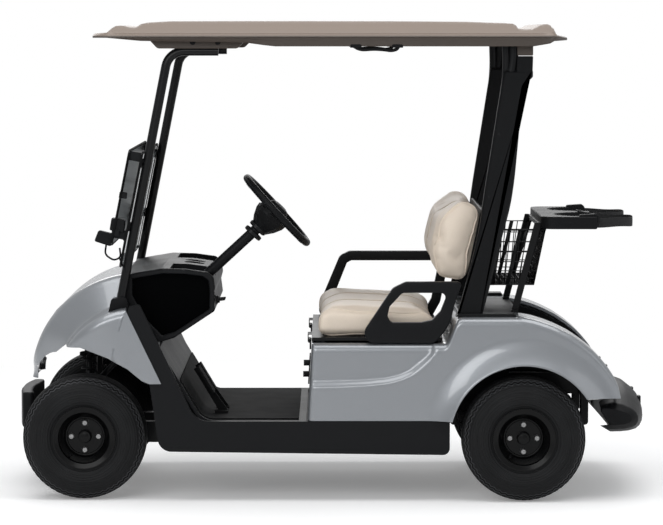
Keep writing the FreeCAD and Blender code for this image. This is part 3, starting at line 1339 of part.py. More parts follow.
def make_rear_body():
    """The hollow seat pod with the rear fenders, open under the seat and over the bag well."""
    radii = [0, mm.body_wall * 2, mm.body_shoulder / 3, mm.body_shoulder / 3, mm.body_shoulder / 2]
    radii += [mm.body_shoulder] * 4 + [mm.body_wall * 2, 0, 0]
    half = mm.body_half_width
    face = Part.Face(loop(tail_outline(), radii, in_side_plane(-half)))
    outer = face.extrude(NORTH * 2 * half)
    inner_face = face.makeOffset2D(-mm.body_wall)
    inner_face.translate(NORTH * mm.body_wall)
    inner = inner_face.extrude(NORTH * 2 * (half - mm.body_wall))
    shell = outer.cut(inner)
    low = mm.floor_top - mm.overrun
    reach = half + mm.overrun
    wheel = Part.makeCylinder(mm.arch_radius, 2 * reach, Vector(REAR_AXLE, -reach, mm.tyre_radius), NORTH)
    bay = block(mm.body_front + mm.body_lean * 2, mm.seat_bay_rear, -mm.seat_bay_half, mm.seat_bay_half, mm.body_seat_top - mm.overrun * 2, mm.body_shelf_top + mm.overrun)
    bay = block(mm.body_front + mm.body_lean * 2, mm.seat_bay_rear, -mm.seat_bay_half, mm.seat_bay_half, mm.body_seat_top - mm.overrun * 2, mm.body_seat_top + mm.seat_gap)
    well = block(mm.body_shelf_front + mm.overrun, mm.overall_length / 2, -mm.well_half_width, mm.well_half_width, low, mm.overall_length)
    floor = block(mm.body_front + mm.body_lean, mm.overall_length / 2, mm.body_wall - half, half - mm.body_wall, low - mm.overrun, mm.body_tail_z + mm.body_wall * 2)
    shell = shell.cut(Part.makeCompound([wheel])).cut(bay).cut(well).cut(floor)
    shell = shell.multiFuse([flare(1), flare(-1)])
    add("rear_body", largest(shell))


def flare(side):
    """The lip that stands out round a rear wheel opening."""
    inner = mm.body_half_width - mm.body_wall
    wall = mm.body_wall
    outline = [
        (mm.arch_radius, inner),
        (mm.arch_radius, mm.flare_out),
        (mm.arch_radius + wall, mm.flare_out),
        (mm.flare_radius, mm.body_half_width),
        (mm.flare_radius, inner),
    ]
    corners = [Vector(r, side * y, 0) for r, y in outline]
    face = Part.Face(Part.makePolygon(corners + corners[:1]))
    low = mm.floor_top + mm.seat_gap - mm.tyre_radius
    rear = math.degrees(math.asin((mm.body_tail_z - mm.tyre_radius) / mm.arch_radius))
    front = 180 - math.degrees(math.asin(low / mm.flare_radius))
    lip = face.revolve(Vector(0, 0, 0), NORTH, -(front - rear))
    lip.Placement = Placement(Vector(REAR_AXLE, 0, mm.tyre_radius), Rotation(NORTH, -rear))
    under = block(-mm.overall_length, mm.overall_length, -mm.overall_length, mm.overall_length, -mm.overrun, mm.floor_top + mm.seat_gap)
    return lip.cut(under)


def make_deck():
    """The black bag well behind the seat, with the shelf in front of it."""
    sheet = mm.deck_sheet
    front = mm.body_shelf_front + mm.overrun + mm.seat_gap
    step = mm.deck_shelf_rear
    top = mm.body_shelf_top
    floor = mm.deck_floor_z
    rear = mm.body_tail_x - mm.body_shoulder / 2
    half = mm.well_half_width - mm.seat_gap
    profile = [(front, top - sheet), (front, top), (step, top), (step, floor), (rear, floor), (rear, floor - sheet)]
    profile += [(step - sheet, floor - sheet), (step - sheet, top - sheet)]
    pieces = [slab(profile, 0, -half, half)]
    run = mm.body_tail_x - mm.deck_shelf_rear
    fall = mm.body_shelf_top - mm.body_tail_z
    shares = [(0, 0.06), (0.36, 0.2), (0.61, 0.37), (0.79, 0.56), (0.87, 0.7)]
    wall = [(step + a * run, top - b * fall) for a, b in shares]
    wall = [(step - sheet, floor - sheet), (step - sheet, top)] + wall + [(rear, floor), (rear, floor - sheet)]
    pieces += [slab(wall, 0, half - sheet, half), slab(wall, 0, -half, sheet - half)]
    add("bag_well", fused(*pieces))


def make_liners():
    """Black wheel housings inside the rear fenders."""
    outer = mm.arch_radius + mm.liner_gap + mm.liner_sheet
    inner = mm.arch_radius + mm.liner_gap
    far = mm.body_half_width - mm.body_wall - mm.seat_gap
    base = Vector(REAR_AXLE, mm.liner_in, mm.tyre_radius)
    ring = Part.makeCylinder(outer, far - mm.liner_in, base, NORTH)
    ring = ring.cut(Part.makeCylinder(inner, far, base - NORTH * mm.overrun, NORTH))
    low = mm.body_tail_z + mm.body_wall * 2 + mm.seat_gap
    ring = ring.common(block(0, mm.overall_length / 2, 0, mm.body_half_width, low, mm.overall_length))
    add("rear_wheel_housings", pair(ring))


def make_rear_bumper():
    """The hollow rear bumper, bowed in plan."""
    add("rear_bumper", tail_bumper(0).cut(tail_bumper(mm.body_wall)))


def tail_bumper(inner):
    """The rear bumper's form, drawn in from its outer faces."""
    rear = mm.overall_length / 2 - inner
    front = rear - mm.tail_bumper_depth + inner - (mm.overrun if inner else 0)
    low = mm.tail_bumper_bottom + inner
    high = mm.tail_bumper_top - inner
    half = mm.tail_bumper_half - inner
    sweep = mm.tail_bumper_sweep
    profile = [(front, low), (rear - sweep / 2, low), (rear, low + sweep), (rear, high - sweep / 2), (rear - sweep / 2, high), (front, high)]
    side = slab(profile, [0, sweep / 3, sweep / 3, sweep / 3, sweep / 3, 0], -half, half)
    ends = [Vector(rear - sweep, -half, 0), Vector(rear, 0, 0), Vector(rear - sweep, half, 0)]
    near = [Vector(front, half, 0), Vector(front, -half, 0)]
    edges = [Part.Arc(*ends).toShape()]
    for a, b in zip([ends[2]] + near, near + [ends[0]]):
        edges.append(Part.LineSegment(a, b).toShape())
    plan = Part.Face(Part.Wire(edges)).extrude(UP * mm.overall_length)
    return side.common(plan)


# Seat


def hinge_axis():
    """The seat lid's hinge line: x and z."""
    x = mm.body_front + mm.body_lean - mm.hinge_radius - mm.hinge_gap
    return x, mm.body_seat_top - mm.hinge_radius - mm.hinge_gap


def make_seat():
    """The seat board on its front hinges, with the cushion on it."""
    x, z = hinge_axis()
    front = mm.seat_front
    rear = mm.seat_rear
    half = mm.seat_half_width
    low = mm.seat_board_bottom
    high = low + mm.seat_board
    board = block(front, rear, -half, half, low, high)
    pieces = [board]
    fixed = []
    third = mm.hinge_length / 3
    for side in (-1, 1):
        y = side * mm.hinge_y
        for end in (-1, 1):
            start = min(y + end * third / 2, y + end * third * 1.5) + mm.hinge_gap / 4
            width = third - mm.hinge_gap / 2
            pieces.append(rod(Vector(x, start, z), Vector(x, start + width, z), mm.hinge_radius))
            pieces.append(block(x - mm.hinge_radius, x - mm.hinge_radius + mm.hinge_sheet, start, start + width, z, high))
            pieces.append(block(x - mm.hinge_radius, front + mm.hinge_sheet, start, start + width, high - mm.hinge_sheet, high))
        fixed.append((y, third))
    bores = []
    hinges = []
    for y, width in fixed:
        reach = third * 1.5
        bores.append(rod(Vector(x, y - reach - mm.overrun, z), Vector(x, y + reach + mm.overrun, z), mm.hinge_pin + mm.pin_clear))
        knuckle = rod(Vector(x, y - width / 2, z), Vector(x, y + width / 2, z), mm.hinge_radius)
        pin = rod(Vector(x, y - reach, z), Vector(x, y + reach, z), mm.hinge_pin)
        leaf_x = pod_front(z - mm.hinge_leaf) - mm.seat_gap
        leaf = block(x, leaf_x, y - width / 2, y + width / 2, z - mm.hinge_leaf, z)
        hinges.append(fused(knuckle, pin, leaf))
    pieces += seat_pads(low)
    lid = fused(*pieces).cut(Part.makeCompound(bores))
    add("seat_lid", lid)
    add("seat_hinges", Part.makeCompound(hinges))
    cushion_low = high + mm.seat_gap
    outline = [(front, cushion_low), (front, mm.seat_top_front), (rear, mm.seat_top_rear), (rear, cushion_low)]
    cushion = slab(outline, [mm.seat_board, mm.seat_round, mm.seat_round, mm.seat_board], -half, half)
    add("seat_cushion", soften(cushion, mm.seat_round / 2, half))


def seat_pads(low):
    """Rubber stops under the board, standing on the ledge behind the seat bay."""
    pads = []
    near = mm.seat_bay_rear + mm.hinge_gap
    for side in (-1, 1):
        y = side * mm.pad_y
        pads.append(block(near, near + mm.pad_half, y - mm.pad_half, y + mm.pad_half, mm.body_seat_top + mm.seat_gap, low))
    return pads


def soften(shape, radius, half):
    """Rounds the long edges at a cushion's ends."""
    edges = [e for e in shape.Edges if abs(abs(e.BoundBox.Center.y) - half) < mm.seat_gap]
    return shape.makeFillet(radius, edges)


def back_outline(front, thick):
    """The backrest from the side: a slab that leans back."""
    low = mm.back_bottom_z
    high = mm.back_top_z
    lean = mm.back_lean
    return [
        (front, low),
        (front + mm.back_belly, (low + low + high) / 3),
        (front + lean * mm.back_mid_share, (low + 3 * high) / 4),
        (front + lean + thick * mm.back_top_share, high),
        (front + lean + thick, high - thick / 3),
        (front + thick, low - mm.back_round / 3),
    ]


def make_backrest():
    """The backrest cushion, and the shell behind it on a bar between the rear struts."""
    half = mm.back_half_width
    outline = back_outline(mm.back_front_x, mm.back_thick)
    radii = [mm.back_round / 2, mm.back_thick, mm.back_thick, mm.back_round, mm.back_round, mm.back_round / 2]
    cushion = slab(outline, radii, -half, half)
    add("backrest_cushion", soften(cushion, mm.back_round / 2, half))
    foot, head = outline[-1], outline[-2]
    length = math.hypot(head[0] - foot[0], head[1] - foot[1])
    along = ((head[0] - foot[0]) / length, (head[1] - foot[1]) / length)

    def behind(share, depth):
        """A point behind the cushion's rear face."""
        reach = share * length
        return (foot[0] + along[0] * reach + along[1] * depth, foot[1] + along[1] * reach - along[0] * depth)

    near = mm.seat_gap
    far = near + mm.back_shell
    low, high = mm.shell_low_share, mm.shell_high_share
    face = [behind(low, near), behind(high, near), behind(high, far), behind(low, far)]
    shell = slab(face, mm.back_shell / 3, mm.back_round - half, half - mm.back_round)
    x, z = behind((low + high) / 2, far + mm.back_bar / 2)
    reach = mm.rear_strut_in - mm.seat_gap
    bar = rod(Vector(x, -reach, z), Vector(x, reach, z), mm.back_bar)
    add("backrest_shell", fused(shell, bar))


def arm_loop(outer, radius, bar, inner=None):
    """An armrest: a flat loop in the side plane."""
    face = Part.Face(loop(outer, radius, in_side_plane(0)))
    hole = Part.Face(loop(inner, radius / 2, in_side_plane(0))) if inner else face.makeOffset2D(-bar)
    ring = face.cut(hole)
    return ring.extrude(NORTH * (mm.armrest_out - mm.armrest_in))


# The armrests' outlines as shares of their length and height
ARM_LEFT_OUTER = [(0, 0), (0.35, 0.9), (0.47, 1), (0.97, 1), (1, 0.96), (0.945, 0.71), (0.89, 0.33), (0.82, 0.15), (0.74, 0)]
ARM_LEFT_INNER = [(0.3, 0.44), (0.32, 0.6), (0.44, 0.82), (0.87, 0.82), (0.8, 0.52), (0.72, 0.38), (0.62, 0.34), (0.33, 0.34)]
ARM_RIGHT_OUTER = [(0, 0), (0.07, 0.4), (0.18, 0.93), (0.25, 1), (0.97, 1), (1, 0.96), (0.96, 0.65), (0.92, 0.25), (0.85, 0)]


def make_armrests():
    """Armrests on the ledges beside the seat. The right one is taller and reaches further forward."""
    foot = mm.body_seat_top + mm.seat_gap
    left = between(ARM_LEFT_OUTER, mm.armrest_left_front, mm.armrest_left_rear, foot, mm.armrest_left_top)
    hole = between(ARM_LEFT_INNER, mm.armrest_left_front, mm.armrest_left_rear, foot, mm.armrest_left_top)
    piece = arm_loop(left, mm.armrest_bar, mm.armrest_bar, hole)
    piece.translate(NORTH * -mm.armrest_out)
    add("armrest_left", trim_to_shelf(piece))
    right = between(ARM_RIGHT_OUTER, mm.armrest_right_front, mm.armrest_right_rear, foot, mm.armrest_right_top)
    piece = arm_loop(right, mm.armrest_bar, mm.armrest_bar)
    piece.translate(NORTH * mm.armrest_in)
    add("armrest_right", trim_to_shelf(piece))


def trim_to_shelf(piece):
    """Cuts an armrest where the body rises behind the seat."""
    reach = mm.overall_length / 2
    points = [(x + 0, z) for x, z in tail_outline()]
    radii = [0, mm.body_wall * 2, mm.body_shoulder / 3, mm.body_shoulder / 3, mm.body_shoulder / 2]
    radii += [mm.body_shoulder] * 4 + [mm.body_wall * 2, 0, 0]
    grown = Part.Face(loop(points, radii, in_side_plane(-reach))).makeOffset2D(mm.seat_gap)
    return largest(piece.cut(grown.extrude(NORTH * 2 * reach)))


def make_control_panel():
    """A small black panel on the seat pod's front, with two knobs."""
    face = [(pod_front(mm.panel_bottom) - mm.seat_gap, mm.panel_bottom), (pod_front(mm.panel_top) - mm.seat_gap, mm.panel_top)]
    face += [(x - mm.panel_sheet, z) for x, z in face[::-1]]
    plate = slab(face, 0, mm.panel_left, mm.panel_right)
    y = (mm.panel_left + mm.panel_right) / 2
    pieces = [plate]
    for share in (0.3, 0.7):
        z = mm.panel_bottom + share * (mm.panel_top - mm.panel_bottom)
        x = pod_front(z) - mm.panel_sheet / 2
        pieces.append(rod(Vector(x - mm.panel_sheet - mm.knob_length, y, z), Vector(x, y, z), mm.knob_radius))
    add("control_panel", fused(*pieces))


# Roof, struts, windscreen


def roof_form(inner):
    """The roof's outer form, or with an inner offset the space under it."""
    front = mm.roof_front + inner
    rear = mm.roof_rear - inner
    run = mm.roof_rear - mm.roof_front
    edge = mm.roof_edge_z - (mm.overrun if inner else 0)
    rim = mm.roof_rim_z - inner
    crown = mm.roof_crown_z - inner
    shares = [(0.035, 0.55), (0.1, 1), (0.89, 1), (0.95, 0.55)]
    top = [(front + a * run, rim + b * (crown - rim)) for a, b in shares]
    side = slab([(front, edge), (front, rim)] + top + [(rear, rim - mm.roof_tail_drop), (rear, edge)], [0, mm.roof_round, mm.roof_round * 2, mm.roof_round * 4, mm.roof_round * 4, mm.roof_round * 2, mm.roof_round, 0], -mm.overall_length, mm.overall_length)
    half = mm.roof_half_width - inner
    cross = [(-half, edge), (-half, rim), (-half * mm.roof_flat_share, crown), (half * mm.roof_flat_share, crown), (half, rim), (half, edge)]
    across = front_slab(cross, [0, mm.roof_round, mm.roof_round * 6, mm.roof_round * 6, mm.roof_round, 0], front - mm.overrun, rear + mm.overrun)
    plan = [(front, -half), (front, half), (rear, half), (rear, -half)]
    down = plan_slab(plan, mm.roof_corner - inner, edge, crown + mm.overrun)
    return side.common(across).common(down)


def make_roof():
    """The hollow roof, its brackets, and the grab handles under its edges."""
    inside = roof_form(mm.roof_wall)
    add("roof", roof_form(0).cut(inside))
    pocket = roof_form(mm.roof_wall + mm.seat_gap)
    rail = front_strut_path()
    strut = tube(rail, mm.front_strut_bend, mm.front_strut_radius + mm.seat_gap)
    front = block(mm.front_bracket_front, mm.front_bracket_rear, mm.front_strut_y - mm.bracket_half, mm.front_strut_y + mm.bracket_half, rail[-1].z - mm.front_strut_radius / 2, mm.overall_length)
    front = largest(front.common(pocket).cut(strut))
    top = mm.rear_strut_top_z + mm.seat_gap
    x = mm.rear_strut_top_x
    cap = [(x, top), (x + mm.bracket_half, mm.roof_edge_z), (x, mm.roof_crown_z), (x + mm.rear_cap_length, mm.roof_crown_z), (x + mm.rear_cap_length, mm.roof_edge_z), (x + mm.rear_strut_depth, top)]
    rear = slab(cap, 0, mm.rear_strut_in, mm.rear_strut_out)
    below = rear.common(block(0, mm.overall_length, 0, mm.overall_length, top, mm.roof_edge_z - mm.overrun))
    rear = fused(below, rear.common(block(0, mm.overall_length, 0, mm.overall_length, mm.roof_edge_z - mm.overrun, mm.overall_length)).common(roof_pocket_down(pocket)))
    add("roof_brackets", Part.makeCompound([front, mirrored(front), rear, mirrored(rear)]))


def roof_pocket_down(pocket):
    """The space under the roof, run down past its edge."""
    return pocket


def front_strut_path():
    """The left or right front strut's centre line, on the right."""
    y = mm.front_strut_y
    foot = Vector(mm.front_strut_foot_x, y, mm.front_strut_foot_z)
    knee = Vector(mm.front_strut_top_x, y, mm.front_strut_top_z)
    end = Vector(mm.front_strut_end_x, y, mm.front_strut_top_z)
    return [foot, knee, end]


def make_struts(cowl):
    """Front struts of bent tube, rear struts, and the covers on the front struts' feet."""
    strut = tube(front_strut_path(), mm.front_strut_bend, mm.front_strut_radius)
    strut = strut.cut(cowl)
    strut = largest(strut)
    strut.translate(UP * mm.seat_gap)
    add("front_struts", pair(strut))
    foot = Vector(mm.front_strut_foot_x, mm.front_strut_y, mm.front_strut_foot_z)
    half = mm.cover_half_length
    outline = [(foot.x - half, foot.z - half), (foot.x - half * 0.6, foot.z + mm.cover_height), (foot.x + half * 0.6, foot.z + mm.cover_height * 1.2), (foot.x + half, foot.z - half)]
    cover = slab(outline, mm.cover_height / 3, foot.y - half * 0.7, foot.y + half * 0.7)
    cover = cover.cut(cowl)
    cover.translate(UP * 2 * mm.seat_gap)
    room = tube([point - UP * mm.overrun if n == 0 else point for n, point in enumerate(front_strut_path())], mm.front_strut_bend, mm.front_strut_radius + 2 * mm.seat_gap)
    hollow = tube(front_strut_path(), mm.front_strut_bend, mm.front_strut_radius + 3 * mm.seat_gap)
    drop = hollow.copy()
    drop.translate(UP * -mm.overrun / 2)
    cover = largest(cover.cut(hollow).cut(drop).cut(room))
    add("strut_foot_covers", pair(cover))
    base = mm.body_shelf_top + mm.seat_gap
    depth = mm.rear_strut_depth
    outline = [
        (mm.rear_strut_foot_x, base),
        (mm.rear_strut_knee_x, mm.rear_strut_knee_z),
        (mm.rear_strut_top_x, mm.rear_strut_top_z),
        (mm.rear_strut_top_x + depth, mm.rear_strut_top_z),
        (mm.rear_strut_knee_x + depth, mm.rear_strut_knee_z),
        (mm.rear_strut_foot_x + depth, base),
    ]
    far = slab(outline, [0, mm.overall_length / 4, 0, 0, mm.overall_length / 4, 0], mm.rear_strut_in, mm.rear_strut_out)
    corners = [e for e in far.Edges if e.BoundBox.ZLength > depth and e.BoundBox.YLength < mm.seat_gap]
    far = far.makeFillet(mm.strut_round, corners)
    add("rear_struts", pair(far))


def screen_frame(x_shift, z):
    """A point on a plane that stands ahead of the front struts by x_shift, square to them."""
    foot, knee = front_strut_path()[:2]
    along = (knee - foot).normalize()
    ahead = Vector(-along.z, 0, along.x)
    reach = (z - foot.z) / along.z
    point = foot + along * reach + ahead * x_shift
    return (point.x, point.z)


def pane(x_shift, low, high, half, sheet):
    """A flat pane that leans with the front struts."""
    outline = [
        screen_frame(x_shift - sheet / 2, low),
        screen_frame(x_shift - sheet / 2, high),
        screen_frame(x_shift + sheet / 2, high),
        screen_frame(x_shift + sheet / 2, low),
    ]
    return slab(outline, 0, -half, half)


def make_windscreen():
    """A two-piece screen, its upper pane folded down in front of the lower one, with clips and stops."""
    near = mm.screen_offset
    far = near + mm.screen_fold
    half = mm.screen_half_width
    sheet = mm.screen_sheet
    add("windscreen_lower", pane(near, mm.screen_bottom, mm.screen_hinge_z, half, sheet))
    add("windscreen_upper", pane(far, mm.screen_hinge_z - mm.screen_upper_length, mm.screen_hinge_z, half, sheet))
    gap = mm.seat_gap
    clips = []
    y = mm.front_strut_y
    for z in (mm.clip_low_z, mm.clip_high_z):
        reach = mm.front_strut_radius + gap
        arm = pane((reach + near - sheet / 2 - gap) / 2, z, z + mm.clip_height, y + mm.clip_half, near - sheet / 2 - gap - reach)
        clips.append(arm.common(block(-mm.overall_length, 0, y - mm.clip_half, y + mm.clip_half, 0, mm.overall_length)))
    for z in (mm.clip_low_z - mm.clip_height, mm.screen_hinge_z - mm.clip_height):
        low = near + sheet / 2 + gap
        high = far - sheet / 2 - gap
        stop = pane((low + high) / 2, z, z + mm.clip_height, y + mm.clip_half, high - low)
        clips.append(stop.common(block(-mm.overall_length, 0, y - mm.clip_half, y + mm.clip_half, 0, mm.overall_length)))
    solids = clips + [mirrored(piece) for piece in clips]
    add("windscreen_clips", Part.makeCompound(solids))


# Bag rack and basket


def rack_x(z, base):
    """Place of the rack's uprights at a height."""
    return mm.rack_foot_x + (z - base) * (mm.rack_top_x - mm.rack_foot_x) / (mm.rack_top_z - base)


def make_rack():
    """Flat uprights, and the bag cradle with its two bays."""
    base = mm.body_shelf_top + mm.seat_gap
    top = mm.rack_top_z
    wide = mm.rack_upright_width
    outline = [(rack_x(base, base), base), (rack_x(top, base), top), (rack_x(top, base) + wide, top), (rack_x(base, base) + wide, base)]
    low = mm.rack_upright_y - mm.rack_upright_sheet / 2
    upright = slab(outline, 0, low, low + mm.rack_upright_sheet)
    foot = block(rack_x(base, base), rack_x(base, base) + wide, low - wide, low + mm.rack_upright_sheet + wide, base, base + mm.rack_upright_sheet)
    bar = block(rack_x(top, base) + wide / 2, mm.cradle_front - mm.seat_gap, -mm.rack_upright_y, mm.rack_upright_y, mm.basket_top + mm.rack_upright_sheet, top)
    add("bag_rack", fused(upright, mirrored(upright), foot, mirrored(foot), bar))
    add("bag_cradle", cradle())
    straps = []
    for side in (-1, 1):
        straps.append(strap(side))
    add("bag_straps", Part.makeCompound(straps))


def bay_centre(side):
    """Middle of a bag bay."""
    return Vector(mm.bag_ring_x, side * mm.bag_ring_y, mm.cradle_bottom)


def cradle():
    """A crossbar with two open rings for the bags."""
    height = mm.cradle_height
    band = mm.bag_band
    inner = mm.bag_ring_radius
    front = mm.cradle_front
    bar = block(front, front + 2 * band, -mm.bag_ring_y - inner, mm.bag_ring_y + inner, mm.cradle_bottom, mm.cradle_bottom + height)
    pieces = [bar]
    holes = []
    for side in (-1, 1):
        centre = bay_centre(side)
        ring = Part.makeCylinder(inner + band, height, centre)
        open_end = block(centre.x + inner / 2, centre.x + 2 * inner, centre.y - 2 * inner, centre.y + 2 * inner, centre.z - mm.overrun, centre.z + height + mm.overrun)
        pieces.append(ring.cut(open_end))
        pieces.append(block(front, centre.x - inner, centre.y - 2 * band, centre.y + 2 * band, centre.z, centre.z + height))
        holes.append(Part.makeCylinder(inner, height + 2 * mm.overrun, centre - UP * mm.overrun))
    return fused(*pieces).cut(Part.makeCompound(holes))


def strap(side):
    """A webbing band that closes a bag bay."""
    centre = bay_centre(side)
    sheet = mm.strap_sheet
    inner = mm.bag_ring_radius + mm.bag_band + mm.seat_gap
    low = centre + UP * (mm.cradle_height - mm.strap_height) / 2
    band = Part.makeCylinder(inner + sheet, mm.strap_height, low).cut(Part.makeCylinder(inner, 2 * mm.strap_height, low - UP * mm.overrun))
    keep = block(centre.x + mm.bag_band, centre.x + 2 * inner, centre.y - 2 * inner, centre.y + 2 * inner, 0, mm.overall_length)
    return band.common(keep)


def make_basket():
    """The wire basket, its wires as square bars."""
    wire = mm.basket_wire
    half = mm.basket_half_width
    low = mm.basket_bottom
    high = mm.basket_top
    lean = mm.basket_lean

    def outline(inner, over):
        """The basket from the side."""
        top_over = lean * over / (high - low)
        return [
            (mm.basket_front_foot + inner, low + inner),
            (mm.basket_rear_foot - inner, low + inner),
            (mm.basket_rear_foot + lean - inner + top_over, high + over),
            (mm.basket_front_foot + lean + inner + top_over, high + over),
        ]

    shell = slab(outline(0, 0), [wire, wire * 6, 0, 0], -half, half)
    shell = shell.cut(slab(outline(wire, mm.overrun), [wire, wire * 5, 0, 0], wire - half, half - wire))
    cuts = []
    pitch = mm.basket_pitch
    across = int(2 * (half - wire) / pitch)
    step_y = 2 * (half - wire) / across
    up = int((high - low - 2 * wire) / pitch)
    step_z = (high - low - wire) / up
    start = mm.basket_front_foot + wire
    deep = int((mm.basket_rear_foot - start) / pitch)
    step_x = (mm.basket_rear_foot - wire - start) / deep
    for n in range(across):
        y = wire - half + n * step_y
        near, far = y + wire / 2, y + step_y - wire / 2
        for m in range(up):
            z = low + wire + m * step_z
            cuts.append(block(mm.basket_front_foot - 2 * lean, mm.basket_rear_foot + 3 * lean, near, far, z, z + step_z - wire))
        for m in range(deep):
            x = start + m * step_x
            cuts.append(block(x + wire / 2, x + step_x - wire / 2, near, far, low - mm.overrun, low + wire))
    for m in range(up):
        z = low + wire + m * step_z
        shift = lean * (z - low) / (high - low)
        for n in range(deep):
            x = start + shift + n * step_x
            cuts.append(block(x + wire / 2, x + step_x - wire / 2, -2 * half, 2 * half, z, z + step_z - wire))
    add("basket", largest(shell.cut(Part.makeCompound(cuts))))


# Rear axle and pedals


def make_rear_axle():
    """The rear axle: gear case, motor, axle tubes, brake drums and the wheels' shafts."""
    centre = Vector(REAR_AXLE, 0, mm.tyre_radius)
    half_case = mm.gear_case_width / 2
    wheel = mm.rear_track / 2
    hub_end = wheel - mm.hub_inboard - mm.knuckle_gap
    drum_end = hub_end - mm.brake_gap
    tip = wheel + mm.disc_offset - mm.rim_sheet - mm.knuckle_gap
    pieces = [
        rod(centre - NORTH * tip, centre + NORTH * tip, mm.spindle_radius),
        rod(centre - NORTH * hub_end, centre + NORTH * hub_end, mm.spindle_collar_radius),
        rod(centre - NORTH * drum_end, centre + NORTH * drum_end, mm.axle_tube_radius),
        rod(centre - NORTH * half_case, centre + NORTH * half_case, mm.gear_case_radius),
    ]
    for side in (-1, 1):
        start = centre + NORTH * side * (drum_end - mm.brake_drum_width)
        pieces.append(rod(start, centre + NORTH * side * drum_end, mm.brake_drum_radius))
    motor = centre + EAST * mm.motor_offset + UP * mm.motor_lift
    pieces.append(rod(motor - NORTH * half_case, motor + NORTH * (mm.motor_length - half_case), mm.motor_radius))
    link = [(centre.x, centre.z + mm.gear_case_radius), (motor.x, motor.z + mm.motor_radius * 0.6), (motor.x, motor.z - mm.motor_radius * 0.6), (centre.x, centre.z - mm.gear_case_radius)]
    pieces.append(slab(link, 0, -half_case, half_case / 2))
    add("rear_axle", fused(*pieces))


def make_rear_springs():
    """Leaf springs under the rear axle, hung on brackets, and the rear shock absorbers."""
    top = mm.tyre_radius - mm.axle_tube_radius - mm.seat_gap
    low = top - mm.leaf_thick
    eye = mm.leaf_eye_z
    span = mm.leaf_half_span
    thin = mm.leaf_thick / 3
    y = mm.leaf_y
    half = mm.leaf_width / 2
    outline = [
        (REAR_AXLE - span, eye + thin / 2), (REAR_AXLE - span / 3, top), (REAR_AXLE + span / 3, top), (REAR_AXLE + span, eye + thin / 2),
        (REAR_AXLE + span, eye - thin / 2), (REAR_AXLE + span / 2.5, low), (REAR_AXLE - span / 2.5, low), (REAR_AXLE - span, eye - thin / 2),
    ]
    leaf = slab(outline, [0, span / 3, span / 3, 0, 0, span / 3, span / 3, 0], y - half, y + half)
    pieces = [leaf]
    rail_out = rail_faces()[1] + mm.seat_gap
    rail_low = mm.rail_bottom + mm.rail_rise
    for end in (-1, 1):
        centre = Vector(REAR_AXLE + end * span, y - half, eye)
        pieces.append(rod(centre, centre + NORTH * mm.leaf_width, mm.leaf_thick / 2))
        drop = block(centre.x - mm.leaf_thick / 2, centre.x + mm.leaf_thick / 2, rail_out, y + half, eye, rail_low + mm.rail_height / 2)
        pieces.append(drop)
    add("leaf_springs", pair(fused(*pieces)))
    shock_y = mm.shock_offset
    foot = Vector(REAR_AXLE + mm.shock_lean, shock_y, mm.tyre_radius)
    head = Vector(REAR_AXLE + mm.shock_lean * 2, shock_y, mm.shock_top)
    along = (head - foot).normalize()
    clamp = rod(Vector(REAR_AXLE, shock_y - mm.strut_radius, mm.tyre_radius), Vector(REAR_AXLE, shock_y + mm.strut_radius, mm.tyre_radius), mm.axle_tube_radius + mm.clevis_ear)
    clamp_hole = rod(Vector(REAR_AXLE, 0, mm.tyre_radius), Vector(REAR_AXLE, mm.overall_length, mm.tyre_radius), mm.axle_tube_radius + mm.seat_gap)
    body = fused(clamp, rod(foot, head, mm.strut_radius / 2), rod(foot + along * (head - foot).Length * 0.3, head - along * mm.strut_radius, mm.strut_radius))
    reach = block(head.x - mm.strut_radius, head.x + mm.strut_radius, rail_out, shock_y + mm.strut_radius / 2, rail_low + mm.rail_height / 2, rail_low + mm.rail_height / 2 + mm.strut_radius)
    body = fused(body, reach).cut(clamp_hole)
    add("rear_shocks", pair(body))


def make_pedals():
    """The throttle and brake pedals on the toe board."""
    pads = []
    for y, wide in ((mm.brake_y, mm.brake_width), (mm.throttle_y, mm.throttle_width)):
        arm = mm.pedal_arm
        slope = math.atan2(mm.toe_top_z - mm.floor_top, mm.floor_heel - mm.toe_top_x)
        foot = Vector(mm.pedal_foot_x, y, mm.floor_top + mm.mat_sheet + 2 * mm.seat_gap)
        head = foot + Vector(-math.cos(slope), 0, math.sin(slope)) * mm.pedal_length
        out = Vector(math.sin(slope), 0, math.cos(slope))
        outline = [foot, head, head + out * arm, foot + out * arm + EAST * arm]
        shape = slab([(p.x, p.z) for p in outline], 0, y - arm / 2, y + arm / 2)
        pad_low = head - (head - foot) * mm.pedal_pad_share
        pad = [pad_low + out * arm, head + out * arm, head + out * (arm + mm.pedal_sheet), pad_low + out * (arm + mm.pedal_sheet)]
        plate = slab([(p.x, p.z) for p in pad], 0, y - wide / 2, y + wide / 2)
        base = block(foot.x - arm, foot.x + 2 * arm, y - wide / 2, y + wide / 2, foot.z, foot.z + mm.pedal_sheet)
        pads.append(fused(shape, plate, base))
    add("pedals", Part.makeCompound(pads))


make_wheels()
make_frame()
make_front_suspension()
make_knuckles()
make_tie_rod()
make_steering_gear()
make_column()
make_steering_wheel()
make_floor()
make_side_panels()
make_battery()
COWL = make_cowl()
make_front_bumper()
make_dash(COWL)
make_rear_body()
make_deck()
make_liners()
make_rear_bumper()
make_seat()
make_backrest()
make_armrests()
make_control_panel()
make_roof()
make_struts(COWL)
make_windscreen()
make_rack()
make_basket()
make_rear_axle()
make_rear_springs()
make_pedals()
doc.recompute()

for item in doc.Objects:
    if "Invalid" in item.State or "Error" in item.State:
        raise RuntimeError(f"{item.Label} did not rebuild")
os.makedirs("parts", exist_ok=True)
for piece in PIECES:
    if piece.Shape.isNull() or not piece.Shape.isValid():
        raise RuntimeError(f"{piece.Label} has no valid shape")
    piece.Shape.exportStep(f"parts/{piece.Label}.step")
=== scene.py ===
import json
import math

import bmesh
import bpy
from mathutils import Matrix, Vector, geometry


